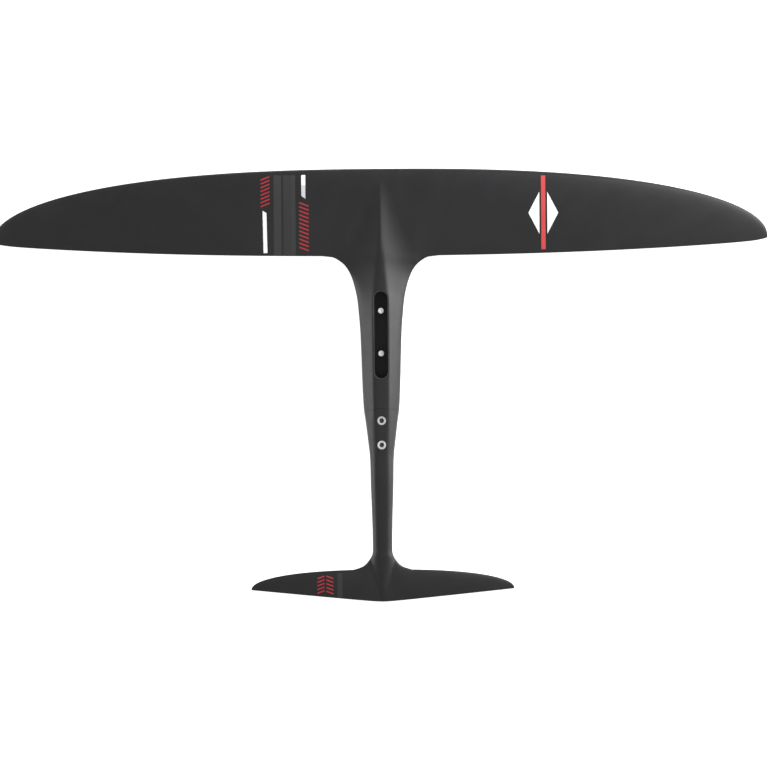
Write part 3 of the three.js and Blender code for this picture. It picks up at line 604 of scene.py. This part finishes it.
def tail_lap_tongue():
    """Solid laminate over the joint's face, with the wall that closes the boom."""
    rear = LAP_REAR_Y - LAP_GAP
    ys = rows_between(LAP_FRONT_Y - LAP_GAP, LAP_REAR_Y - LAP_WALL, SCREW_HOLES, [rear, rear - WALL_STEP])

    def low(x, y):
        on_wall = y <= rear - WALL_STEP / 2
        return np.where(on_wall, core_bottom(TAIL_SKIN)(x, y), PART_Z + SEAM)

    blocks = centre_blocks(ys, tongue_width, SCREW_HOLES, FEW_COLUMNS)
    return slab("tail_lap_tongue", blocks, low, core_top(TAIL_SKIN))


TUB_FILLET = 1.2  # between the tub's floor and its walls
TUB_LIP, TUB_EDGE = 0.5, 0.2  # rounding of the rim's inner corner and chamfer of its outer one
TUB_SINK = 0.25  # the tub's rim lies this far below the skin
TUB_SLACK = 0.01  # tells the edge of the tub's floor from the bolts' holes
QUARTER = np.linspace(0, np.pi / 2, 6)


def tub_wall(x, y):
    """Up the inside of the tub from its floor, over the rim and down the outside.

    The edge of a bolt's hole has a plain wall."""
    spine, reach = POCKET.away(x, y)
    if reach < POCKET_HALF_WIDTH - TUB_FILLET - TUB_SLACK:
        return None
    out = np.array([x, y - spine]) / reach
    rim = float(top_z(np.array(x), np.array(y))) - TUB_SINK
    profile = [(-TUB_FILLET * (1 - math.sin(a)), TUB_FILLET * (1 - math.cos(a))) for a in QUARTER[1:]]
    profile += [(TUB_LIP * (1 - math.cos(a)), rim - TUB_LIP * (1 - math.sin(a))) for a in QUARTER]
    profile += [(LINER_WALL - TUB_EDGE, rim), (LINER_WALL, rim - TUB_EDGE), (LINER_WALL, -LINER_FLOOR)]
    return [(*(out * (POCKET_HALF_WIDTH + d) + [0, spine]), h) for d, h in profile]


def level(z):
    """A height that is the same everywhere."""
    return lambda x, y: np.full_like(x, z)


def pocket_tub():
    """The tub that lines the mast pocket, with a round hole in its floor for each mast bolt."""
    inner = Hole(POCKET_HALF_WIDTH - TUB_FILLET, POCKET_FRONT_Y - TUB_FILLET, POCKET_REAR_Y + TUB_FILLET)
    holes = [round_hole(y, M8["shank"] + FIT_GAP) for y, _ in MAST_BOLTS.values()]
    ys = rows_between(inner.front, inner.rear, [inner, *holes])
    blocks = centre_blocks(ys, inner.half_at, holes, FEW_COLUMNS)
    return slab("pocket_tub", blocks, level(-LINER_FLOOR), level(0), tub_wall)


# ---------- fasteners ----------

THREAD_STEPS = 8  # rings to each turn of a thread
THREAD_DEPTH = 0.58  # of the pitch
THREAD_FADE = 1.5  # the thread dies away over this length at each end
THREAD_START, THREAD_END, PLAIN_NECK = 0.05, 1, 0.9  # from the point's chamfer, and below the head
DIMPLE = [(0, 0.5), (0.3, 0.12), (0.42, 0)]  # in the screw's end: shares of its radius, and depths
POINT_CHAMFER, HEAD_CHAMFER = 0.25, 0.12
HEAD_EDGE = 0.3  # height of the head's upright rim
LOBES, LOBE_DEPTH = 6, 0.13  # of a socket; the depth is a share of its radius
MOUTH_SHARE, MOUTH_DEPTH = 1.1, 0.25  # the socket's flare
FLOOR_SHARE, FLOOR_STEP, FLOOR_CONE = 0.85, 0.05, 0.5  # the socket's floor, which is a shallow cone
# The darker finish in a socket is painted shade.
SOCKET_REACH, SOCKET_MARGIN = 1.02, 0.6  # how far past a socket's radius and depth its finish goes
SLEEVE_SINK = 0.1  # a mast bolt's sleeve starts this far above the belly
SLEEVE_CHAMFER, SLEEVE_MOUTH = 0.3, 0.2  # chamfers of its outside and of its countersink's mouth
INSERT_MOUTH = [(0, 0.6), (0.5, 0)]  # an insert's countersink: distances beyond the bore, and depths
INSERT_CHAMFERS = 0.1, 0.2, 0.3  # breadth and depth at the top, and breadth at the bottom
GROOVE = [(0, 0), (0.35, 0.3), (0.35, 0.6), (0, 0.9)]  # depth into the insert, and place along it
GROOVE_PITCH, GROOVE_MARGIN = 1.5, 1


def thread(size, low, high):
    """Rings of a helical thread between two heights."""
    rings = []
    for z in np.arange(low, high, size["pitch"] / THREAD_STEPS):
        turn = (z / size["pitch"] - ANGLES / (2 * np.pi)) % 1
        depth = THREAD_DEPTH * size["pitch"] * (1 - np.abs(2 * turn - 1))
        fade = smooth(min(z - low, high - z) / THREAD_FADE)
        rings.append((size["shank"] - depth * fade, z))
    return rings


def countersunk_screw(name, size, length, y, z, flip=False):
    """A screw with a lobed socket. The top of its head is at z = 0 before it is placed."""
    lobes = size["socket"] * (1 - LOBE_DEPTH * (1 - np.cos(LOBES * ANGLES)))
    neck = -(size["head"] - size["shank"]) - HEAD_EDGE
    floor_z = -size["socket_depth"]
    rings = [(share * size["shank"], depth - length) for share, depth in DIMPLE]
    rings += [(size["shank"] - POINT_CHAMFER, -length), (size["shank"], POINT_CHAMFER - length)]
    rings += thread(size, POINT_CHAMFER - length + THREAD_START, neck - THREAD_END)
    rings += [(size["shank"], neck - PLAIN_NECK), (size["shank"], neck), (size["head"], -HEAD_EDGE)]
    rings += [(size["head"], -HEAD_CHAMFER), (size["head"] - HEAD_CHAMFER, 0)]
    rings += [(lobes * MOUTH_SHARE, 0), (lobes, -MOUTH_DEPTH), (lobes, floor_z)]
    rings += [(lobes * FLOOR_SHARE, floor_z - FLOOR_STEP), (0, floor_z - FLOOR_CONE)]
    return turned(name, rings, y, z, flip)


def paint_socket_shade(screw, size, finish):
    """Painted shade: a darker finish on the faces inside the socket, for the shade that falls in it."""
    screw.data.materials.append(finish)
    points = np.array([corner.co[:] for corner in screw.data.vertices]) / MM
    axis_y = points[:, 1].mean()
    widest = np.hypot(points[:, 0], points[:, 1] - axis_y).argmax()
    for face in screw.data.polygons:
        x, y, z = np.array(face.center) / MM - [0, axis_y, points[widest, 2]]
        within_walls = np.hypot(x, y) < size["socket"] * SOCKET_REACH
        if within_walls and abs(z) < size["socket_depth"] + SOCKET_MARGIN:
            face.material_index = 1


def top_of(y):
    """Height of the skin on the centre line."""
    return float(top_z(np.zeros(1), np.array([y]))[0])


BELLY_Z = float(bottom_z(np.zeros(1), np.zeros(1))[0])


def mast_bolt_sleeve(name, y):
    """A sleeve from the belly up to the pocket tub, countersunk from below for the bolt's head."""
    bore, mouth = M8["shank"] + FIT_GAP, M8["head"] + FIT_GAP
    low, high = BELLY_Z + SLEEVE_SINK, -LINER_FLOOR - 2 * SEAM
    seat = low + HEAD_SINK + M8["head"] - bore + FIT_GAP
    outside = BUSH_RADIUS - SLEEVE_CHAMFER
    rings = [(bore, high), (outside, high), (BUSH_RADIUS, high - SLEEVE_CHAMFER)]
    rings += [(BUSH_RADIUS, low + SLEEVE_CHAMFER), (outside, low), (mouth + SLEEVE_MOUTH, low)]
    rings += [(mouth, low + SLEEVE_MOUTH), (mouth, seat - (mouth - bore)), (bore, seat)]
    return turned(name, rings[::-1], y)


def threaded_insert(name, y):
    """A sleeve in the front tongue, with a countersunk mouth and grooves round the outside to key it in."""
    bore, high = M6["shank"] + FIT_GAP, PART_Z - SEAM
    top_breadth, top_depth, bottom_breadth = INSERT_CHAMFERS
    rings = [(bore + beyond, high - depth) for beyond, depth in INSERT_MOUTH]
    rings += [(INSERT_RADIUS - top_breadth, high), (INSERT_RADIUS, high - top_depth)]
    for start in np.arange(GROOVE_MARGIN, INSERT_LENGTH - GROOVE_MARGIN, GROOVE_PITCH):
        rings += [(INSERT_RADIUS - depth, high - start - place) for depth, place in GROOVE]
    rings += [(INSERT_RADIUS - bottom_breadth, high - INSERT_LENGTH), (bore, high - INSERT_LENGTH)]
    return turned(name, rings[::-1], y)


# ---------- printed marks ----------

PRINT_LOW, PRINT_HIGH = 0.02, 0.05  # a print's thin layer above the skin
PRINT_PITCH = 3  # spacing of a print's mesh, so that it follows the skin
TICK_SHARE = 0.36  # length of a tick along the row, as a share of the pitch


def patch_between(a, b, c, d):
    """A plan grid over the four-sided shape with these corners in order."""
    a, b, c, d = (np.array(p, float) for p in (a, b, c, d))
    across = max(2, int(np.linalg.norm(b - a) / PRINT_PITCH) + 1)
    down = max(2, int(max(np.linalg.norm(d - a), np.linalg.norm(c - b)) / PRINT_PITCH) + 1)
    s = np.linspace(0, 1, across)[None, :, None]
    t = np.linspace(0, 1, down)[:, None, None]
    return (a * (1 - s) + b * s) * (1 - t) + (d * (1 - s) + c * s) * t


def upright(x0, x1, front, rear):
    """A straight band down the wing. front and rear may be stations or functions of x."""
    ends = [[edge(np.array(x)) if callable(edge) else edge for x in (x0, x1)] for edge in (front, rear)]
    return patch_between((x0, ends[0][0]), (x1, ends[0][1]), (x1, ends[1][1]), (x0, ends[1][0]))


def ticks(x0, x1, front, rear, count, slope):
    """Slanted strokes in a row from front to rear, each narrower than the gap to the next."""
    pitch = (front - rear - abs(slope)) / (count - 0.5)
    first = front - max(0, slope)
    breadth = TICK_SHARE * pitch
    strokes = []
    for k in range(count):
        left = first - k * pitch
        right = left + slope
        strokes.append(patch_between((x0, left), (x1, right), (x1, right - breadth), (x0, left - breadth)))
    return strokes


def above_skin(height):
    return lambda x, y: top_z(x, y) + height


def printed(name, patches):
    """A print's ink, laid over the skin on each patch of plan."""
    return slab(name, patches, above_skin(PRINT_LOW), above_skin(PRINT_HIGH))


def ahead_of_edge(margin):
    """Stations that far ahead of the wing's trailing edge."""
    return lambda x: trailing_edge(x) + margin


def ahead_of_stab_edge(margin):
    """Stations that far ahead of the stabilizer's trailing edge."""
    return lambda x: stab_trailing_edge(x) + margin


# Port wing: corners of the slanted bars, then the x range and the stations of what runs straight
OUTER_BAR = (-165, 171.6), (-159.6, 168.4), (-158.6, 112.3), (-164.1, 112.3)
INNER_BAR_X, INNER_BAR_FRONT_Y, INNER_BAR_CHANGE_Y = (-110.4, -104.7), 221.4, 207
INNER_BAR_REAR_YS = 192, 187.9
OUTER_TICKS_X, OUTER_TICKS_YS, OUTER_TICKS = (-167.6, -155), (220.4, 175.6), dict(count=8, slope=5)
INNER_TICKS_X, INNER_TICKS_YS, INNER_TICKS = (-113.6, -100.4), (183.6, 113.4), dict(count=12, slope=-5)
BANDS = {
    "outer": ("pale_grey", (-149.4, -138.6)),
    "middle": ("grey", (-136, -125.6)),
    "inner": ("pale_grey", (-125.4, -118.8)),
}
BAND_FRONT_Y, BAND_MARGIN = 221.2, 0.6  # the margin is to the trailing edge
# Starboard wing
EMBLEM_X, EMBLEM_Y = 229.2, 166
EMBLEM_HALF_WIDTH, EMBLEM_HALF_LENGTH, EMBLEM_GAP = 21, 40, 5.6
STRIPE_HALF_WIDTH, STRIPE_YS = 3, (218.3, 114.8)
# Stabilizer
STAB_TICK_COLUMNS = [((-92, -82.2), (-341.5, -368), 3.5), ((-79.4, -69.6), (-341.5, -369), -3.5)]
STAB_TICKS_EACH = 5
STAB_BAND_X, STAB_BAND_FRONT_Y, STAB_BAND_MARGIN = (-63.8, -57), -338.6, 0.8


def emblem_half(side):
    """Half of a lozenge, split down the middle by the red stripe."""
    inner = EMBLEM_HALF_LENGTH * (1 - EMBLEM_GAP / EMBLEM_HALF_WIDTH)
    point = (EMBLEM_X + side * EMBLEM_HALF_WIDTH, EMBLEM_Y)
    near = EMBLEM_X + side * EMBLEM_GAP
    return patch_between((near, EMBLEM_Y + inner), point, point, (near, EMBLEM_Y - inner))


def inner_bar_rear():
    """The bar's rear part, which ends on a slant."""
    (x0, x1), (y0, y1) = INNER_BAR_X, INNER_BAR_REAR_YS
    return patch_between((x0, INNER_BAR_CHANGE_Y), (x1, INNER_BAR_CHANGE_Y), (x1, y1), (x0, y0))


def wing_prints():
    """Each print on the front wing, with its ink."""
    stripe_x = EMBLEM_X - STRIPE_HALF_WIDTH, EMBLEM_X + STRIPE_HALF_WIDTH
    prints = {
        "print_bar_outer": ("white", [patch_between(*OUTER_BAR)]),
        "print_bar_inner_front": (
            "white", [upright(*INNER_BAR_X, INNER_BAR_FRONT_Y, INNER_BAR_CHANGE_Y)]
        ),
        "print_bar_inner_rear": ("silver", [inner_bar_rear()]),
        "print_ticks_outer": ("dark_red", ticks(*OUTER_TICKS_X, *OUTER_TICKS_YS, **OUTER_TICKS)),
        "print_ticks_inner": ("dark_red", ticks(*INNER_TICKS_X, *INNER_TICKS_YS, **INNER_TICKS)),
        "print_stripe": ("red", [upright(*stripe_x, *STRIPE_YS)]),
        "print_emblem": ("white", [emblem_half(-1), emblem_half(1)]),
    }
    for place, (ink, xs) in BANDS.items():
        band = upright(*xs, BAND_FRONT_Y, ahead_of_edge(BAND_MARGIN))
        prints[f"print_band_{place}"] = (ink, [band])
    return prints


def stabilizer_prints():
    """Each print on the stabilizer, with its ink."""
    strokes = []
    for xs, ys, slope in STAB_TICK_COLUMNS:
        strokes += ticks(*xs, *ys, STAB_TICKS_EACH, slope)
    band = upright(*STAB_BAND_X, STAB_BAND_FRONT_Y, ahead_of_stab_edge(STAB_BAND_MARGIN))
    return {
        "print_stabilizer_ticks": ("dark_red", strokes),
        "print_stabilizer_band": ("grey", [band]),
    }


# ---------- materials ----------


def srgb(*channels):
    """A colour given as it looks on a screen, 0 to 255, made linear by the sRGB curve."""
    linear = [c / 3294.6 if c <= 10.3 else ((c / 255 + 0.055) / 1.055) ** 2.4 for c in channels]
    return (*linear, 1)


def node(tree, kind, inputs=None, **settings):
    """A shader node. Each input is a value, or another node's output to link to it."""
    made = tree.nodes.new("ShaderNode" + kind)
    for key, value in settings.items():
        setattr(made, key, value)
    for key, value in (inputs or {}).items():
        if isinstance(value, bpy.types.NodeSocket):
            tree.links.new(value, made.inputs[key])
        else:
            made.inputs[key].default_value = value
    return made


def mottle(tree, point, scale, detail=4):
    """Cloudy noise."""
    return node(tree, "TexNoise", {"Vector": point, "Scale": scale, "Detail": detail}).outputs["Fac"]


def mixed(tree, a, b, share):
    """a and b blended, with that share of b."""
    mix = node(tree, "Mix", {"Factor": share}, data_type="FLOAT")
    for socket, value in zip(mix.inputs[2:4], (a, b)):
        tree.links.new(value, socket)
    return mix.outputs[0]


def skin_weave(tree, point):
    """Cloth that just shows through a satin coat, under cloudier variation in the coat itself."""
    waves = []
    for turn in (45, -45):
        angle = (0, 0, math.radians(turn))
        across = node(tree, "Mapping", {"Vector": point, "Rotation": angle}).outputs[0]
        wave = node(tree, "TexWave", {"Vector": across, "Scale": 150, "Distortion": 0.6})
        waves.append(wave.outputs["Fac"])
    weave = node(tree, "Math", {0: waves[0], 1: waves[1]}, operation="MULTIPLY").outputs[0]
    return mixed(tree, mottle(tree, point, scale=26), weave, share=0.3)


def twill(tree, point):
    """Bare cloth in resin: two tows crossing on the diagonal."""
    tow = {"Vector": point, "Scale": 160, "Distortion": 0.4}
    straight = node(tree, "TexWave", tow, bands_direction="X").outputs["Fac"]
    slanted = node(tree, "TexWave", tow, bands_direction="DIAGONAL").outputs["Fac"]
    cloth = mixed(tree, straight, slanted, share=0.55)
    return mixed(tree, cloth, mottle(tree, point, scale=60), share=0.35)


def fibres(tree, point):
    """Straight fibres running from tip to tip."""
    drawn = node(tree, "Mapping", {"Vector": point, "Scale": (0.04, 1, 1)}).outputs[0]
    return mottle(tree, drawn, scale=900, detail=3)


def cells(tree, point):
    """Closed foam cells about a millimetre across."""
    cell = node(tree, "TexVoronoi", {"Vector": point, "Scale": 900}).outputs["Distance"]
    return mixed(tree, cell, mottle(tree, point, scale=90), share=0.35)


def grain(tree, point):
    """Fine, even speckle with a little slow variation under it."""
    speckle = mottle(tree, point, scale=1400, detail=2)
    return mixed(tree, speckle, mottle(tree, point, scale=40), share=0.4)


def turned_marks(y):
    """Fine rings left by the lathe, about an upright axis at that station, with scuffs across them."""

    def rings(tree, point):
        centred = node(tree, "Mapping", {"Vector": point, "Location": (0, -y * MM, 0)}).outputs[0]
        wave = node(
            tree,
            "TexWave",
            {"Vector": centred, "Scale": 700, "Distortion": 1.2, "Detail": 3},
            wave_type="RINGS",
            rings_direction="Z",
        )
        return mixed(tree, wave.outputs["Fac"], mottle(tree, point, scale=500), share=0.55)

    return rings


PATTERN_RANGE = 0.3, 0.7  # the part of a pattern's range that most of it lies in
BUMP_STRENGTH = 0.6


def surface(name, shades, pattern, roughness, bump_mm, metallic=0, specular=0.5):
    """A material whose colour, roughness and bump all follow patterns in the part's own frame."""
    made = bpy.data.materials.new(name)
    made.use_nodes = True
    tree = made.node_tree
    shader = tree.nodes["Principled BSDF"]
    point = node(tree, "TexCoord").outputs["Object"]
    figure = pattern(tree, point)
    ramp_node = node(tree, "ValToRGB", {"Fac": figure})
    for stop, position, shade in zip(ramp_node.color_ramp.elements, PATTERN_RANGE, shades):
        stop.position = position
        stop.color = shade
    limits = dict(zip(("From Min", "From Max", "To Min", "To Max"), (*PATTERN_RANGE, *roughness)))
    rough = node(tree, "MapRange", {"Value": mottle(tree, point, scale=55), **limits})
    bump = node(tree, "Bump", {"Height": figure, "Strength": BUMP_STRENGTH, "Distance": bump_mm * MM})
    tree.links.new(ramp_node.outputs["Color"], shader.inputs["Base Color"])
    tree.links.new(rough.outputs["Result"], shader.inputs["Roughness"])
    tree.links.new(bump.outputs["Normal"], shader.inputs["Normal"])
    shader.inputs["Metallic"].default_value = metallic
    shader.inputs["Specular IOR Level"].default_value = specular
    return made


def steel(name, y, shades, metallic=1):
    """Steel with the fine rings that turning leaves round the axis of a fastener at y."""
    return surface(name, shades, turned_marks(y), roughness=(0.3, 0.5), bump_mm=0.012, metallic=metallic)


# Painted light: the mast bolts' steel is a lighter, less metallic copy of the tail screws' steel, to
# brighten bolt ends that lie deep in the pocket.
MAST_BOLT_PAINTED_LIGHT_SHADES, MAST_BOLT_METALLIC = (srgb(236, 236, 237), srgb(254, 254, 254)), 0.25
TAIL_SCREW_SHADES = srgb(196, 197, 199), srgb(232, 232, 233)
# Painted shade: darker steel for the inside of the sockets, where shade falls.
SOCKET_PAINTED_SHADE_COLOURS = srgb(66, 66, 67), srgb(92, 92, 92)
CARBON_SHADES = srgb(18, 18, 20), srgb(24, 24, 27)
LAMINATE_SHADES = srgb(20, 20, 22), srgb(52, 52, 55)
SPAR_SHADES = srgb(18, 18, 20), srgb(44, 44, 47)
TUB_SHADES = srgb(56, 56, 58), srgb(68, 68, 70)
FOAM_SHADES = srgb(196, 184, 142), srgb(226, 217, 184)
BRASS_SHADES = srgb(166, 130, 66), srgb(202, 168, 98)
INK_SHADES = {
    "white": (srgb(240, 240, 239), srgb(248, 248, 247)),
    "silver": (srgb(190, 191, 192), srgb(206, 207, 208)),
    "red": (srgb(190, 60, 60), srgb(206, 72, 71)),
    "dark_red": (srgb(162, 34, 42), srgb(176, 42, 50)),
    "grey": (srgb(38, 39, 38), srgb(44, 45, 43)),
    "pale_grey": (srgb(43, 44, 43), srgb(49, 50, 48)),
}
INK_ROUGHNESS, GREY_ROUGHNESS = (0.4, 0.5), (0.42, 0.52)

# Painted shade: a darker copy of the steel, laid inside the sockets.
SOCKET_PAINTED_SHADE_STEEL = surface("socket_painted_shade_steel", SOCKET_PAINTED_SHADE_COLOURS, grain, roughness=(0.4, 0.6), bump_mm=0.01, metallic=1)
CARBON = surface("satin_carbon", CARBON_SHADES, skin_weave, roughness=(0.42, 0.48), bump_mm=0.02)
LAMINATE = surface("bare_laminate", LAMINATE_SHADES, twill, roughness=(0.35, 0.5), bump_mm=0.06)
SPAR = surface("spar_laminate", SPAR_SHADES, fibres, roughness=(0.35, 0.55), bump_mm=0.04)
TUB = surface("pocket_plastic", TUB_SHADES, grain, roughness=(0.6, 0.75), bump_mm=0.03, specular=0.3)
FOAM = surface("closed_cell_foam", FOAM_SHADES, cells, roughness=(0.8, 0.95), bump_mm=0.25)
BRASS = surface("turned_brass", BRASS_SHADES, grain, roughness=(0.25, 0.4), bump_mm=0.01, metallic=1)


def mix_inks():
    """A material for each ink. The grey ones are duller."""
    inks = {}
    for name, shades in INK_SHADES.items():
        roughness = GREY_ROUGHNESS if "grey" in name else INK_ROUGHNESS
        inks[name] = surface(f"{name}_ink", shades, grain, roughness, bump_mm=0.01)
    return inks


INKS = mix_inks()


# ---------- assembly ----------


def fit(piece, body, finish, replaced=()):
    """Gives a piece its finish and its body, and hides the CAD nodes it replaces."""
    piece.data.materials.append(finish)
    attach(piece, body)
    if replaced:
        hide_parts(*replaced)


def assemble_mouldings():
    front, tail = "front_section", "tail_section"
    fit(front_upper_shell(), front, CARBON, ["front_upper_skin"])
    fit(front_lower_shell(), front, CARBON, ["front_lower_skin"])
    fit(tail_upper_shell(), tail, CARBON, ["tail_upper_skin"])
    fit(tail_lower_shell(), tail, CARBON, ["tail_lower_skin"])
    fit(front_lap_tongue(), front, LAMINATE, ["front_tongue"])
    fit(tail_lap_tongue(), tail, LAMINATE, ["tail_tongue"])
    fit(pocket_tub(), front, TUB, ["mast_pocket_liner"])


def assemble_fasteners():
    for end, (y, length) in MAST_BOLTS.items():
        # Painted light: the mast bolts get the lighter copy of the steel.
        finish = steel(f"painted_light_steel_mast_bolt_{end}", y, MAST_BOLT_PAINTED_LIGHT_SHADES, MAST_BOLT_METALLIC)
        head_z = BELLY_Z + HEAD_SINK
        bolt = countersunk_screw(f"countersunk_mast_bolt_{end}", M8, length, y, head_z, flip=True)
        fit(bolt, f"{end}_mast_bolt", finish, [f"mast_bolt_{end}"])
        paint_socket_shade(bolt, M8, SOCKET_PAINTED_SHADE_STEEL)
        sleeve = mast_bolt_sleeve(f"mast_bolt_sleeve_{end}", y)
        fit(sleeve, "front_section", finish, [f"mast_bolt_bush_{end}"])
    for end, (y, length) in TAIL_SCREWS.items():
        finish = steel(f"steel_tail_screw_{end}", y, TAIL_SCREW_SHADES)
        head_z = top_of(y) - HEAD_SINK
        screw = countersunk_screw(f"countersunk_tail_screw_{end}", M6, length, y, head_z)
        fit(screw, f"{end}_tail_screw", finish, [f"tail_screw_{end}"])
        paint_socket_shade(screw, M6, SOCKET_PAINTED_SHADE_STEEL)
        insert = threaded_insert(f"threaded_insert_{end}", y)
        fit(insert, "front_section", BRASS, [f"screw_insert_{end}"])


def finish_cad_cores():
    """The cores and the spar keep their CAD shapes."""
    finishes = {"main_spar": SPAR, "stabilizer_core": LAMINATE, "fuselage_core": FOAM, "boom_core": FOAM}
    for place in ("leading", "trailing"):
        for side in ("left", "right"):
            finishes[f"{place}_core_{side}"] = FOAM
    for name, finish in finishes.items():
        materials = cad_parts[name].data.materials
        materials.clear()
        materials.append(finish)


def assemble_prints():
    for body, prints in (("front_section", wing_prints()), ("tail_section", stabilizer_prints())):
        for name, (ink, patches) in prints.items():
            fit(printed(name, patches), body, INKS[ink])


assemble_mouldings()
assemble_fasteners()
finish_cad_cores()
assemble_prints()

# ---------- floor, lights and camera ----------

FLOOR_SIZE, FLOOR_GAP = 40, 0.0002
FLOOR_SHADE, FLOOR_ROUGHNESS = 0.86, 0.9
FLOOR_LIGHT = 0.78  # the floor glows a little, as a light table does
ROOM_LIGHT, SEEN_ROOM_LIGHT = 0.4, 1
SOFTBOXES = {  # place and size in metres, and power in watts
    "right": ((2.3, 1.0, 1.25), (3.2, 2.2), 150),
    "left": ((-2.8, 0.2, 0.86), (3.4, 1.4), 54),
    "overhead": ((0, -0.25, 1.2), (0.3, 0.3), 0.45),
}
VIEW_CENTRE, VIEW_TURN = (0.00365, -0.0729), -0.0076
VIEW_WIDTH, VIEW_LEVEL = 1.0806, -0.014  # the view is this wide at this height
LENS_MM, SENSOR_MM = 400, 36


def floor():
    """A wide pale floor just below the part."""
    half = FLOOR_SIZE / 2
    low = CAD_BOX[0][2] - FLOOR_GAP
    mesh = bpy.data.meshes.new("floor")
    corners = [(-half, -half, low), (half, -half, low), (half, half, low), (-half, half, low)]
    mesh.from_pydata(corners, [], [(0, 1, 2, 3)])
    made = bpy.data.objects.new("floor", mesh)
    bpy.context.scene.collection.objects.link(made)
    finish = bpy.data.materials.new("floor_paint")
    finish.use_nodes = True
    shader = finish.node_tree.nodes["Principled BSDF"]
    shader.inputs["Base Color"].default_value = (FLOOR_SHADE, FLOOR_SHADE, FLOOR_SHADE, 1)
    shader.inputs["Roughness"].default_value = FLOOR_ROUGHNESS
    shader.inputs["Emission Color"].default_value = (1, 1, 1, 1)
    shader.inputs["Emission Strength"].default_value = FLOOR_LIGHT
    mesh.materials.append(finish)


def softbox(name, place, size, watts):
    """An area light aimed at the middle of the view."""
    light = bpy.data.lights.new(name, "AREA")
    light.shape = "RECTANGLE"
    light.size, light.size_y = size
    light.energy = watts
    lamp = bpy.data.objects.new(name, light)
    lamp.location = place
    aim = Vector((*VIEW_CENTRE, 0)) - lamp.location
    lamp.rotation_euler = aim.to_track_quat("-Z", "Y").to_euler()
    lamp.visible_camera = False
    bpy.context.scene.collection.objects.link(lamp)


def room():
    """Dim light from all round, with a white background behind the floor."""
    world = bpy.data.worlds.new("room")
    world.use_nodes = True
    tree = world.node_tree
    background = tree.nodes["Background"]
    seen = node(tree, "LightPath").outputs["Is Camera Ray"]
    strength = node(tree, "MapRange", {"Value": seen, "To Min": ROOM_LIGHT, "To Max": SEEN_ROOM_LIGHT})
    background.inputs["Color"].default_value = (1, 1, 1, 1)
    tree.links.new(strength.outputs["Result"], background.inputs["Strength"])
    bpy.context.scene.world = world


def camera():
    """Looks straight down from far off."""
    lens = bpy.data.cameras.new("camera")
    lens.lens, lens.sensor_width = LENS_MM, SENSOR_MM
    made = bpy.data.objects.new("camera", lens)
    made.location = (*VIEW_CENTRE, VIEW_LEVEL + VIEW_WIDTH * LENS_MM / SENSOR_MM)
    made.rotation_euler = (0, 0, VIEW_TURN)
    bpy.context.scene.collection.objects.link(made)
    bpy.context.scene.camera = made


floor()
for side, (place, size, watts) in SOFTBOXES.items():
    softbox(f"{side}_softbox", place, size, watts)
room()
camera()
bpy.context.scene.view_settings.view_transform = "Standard"
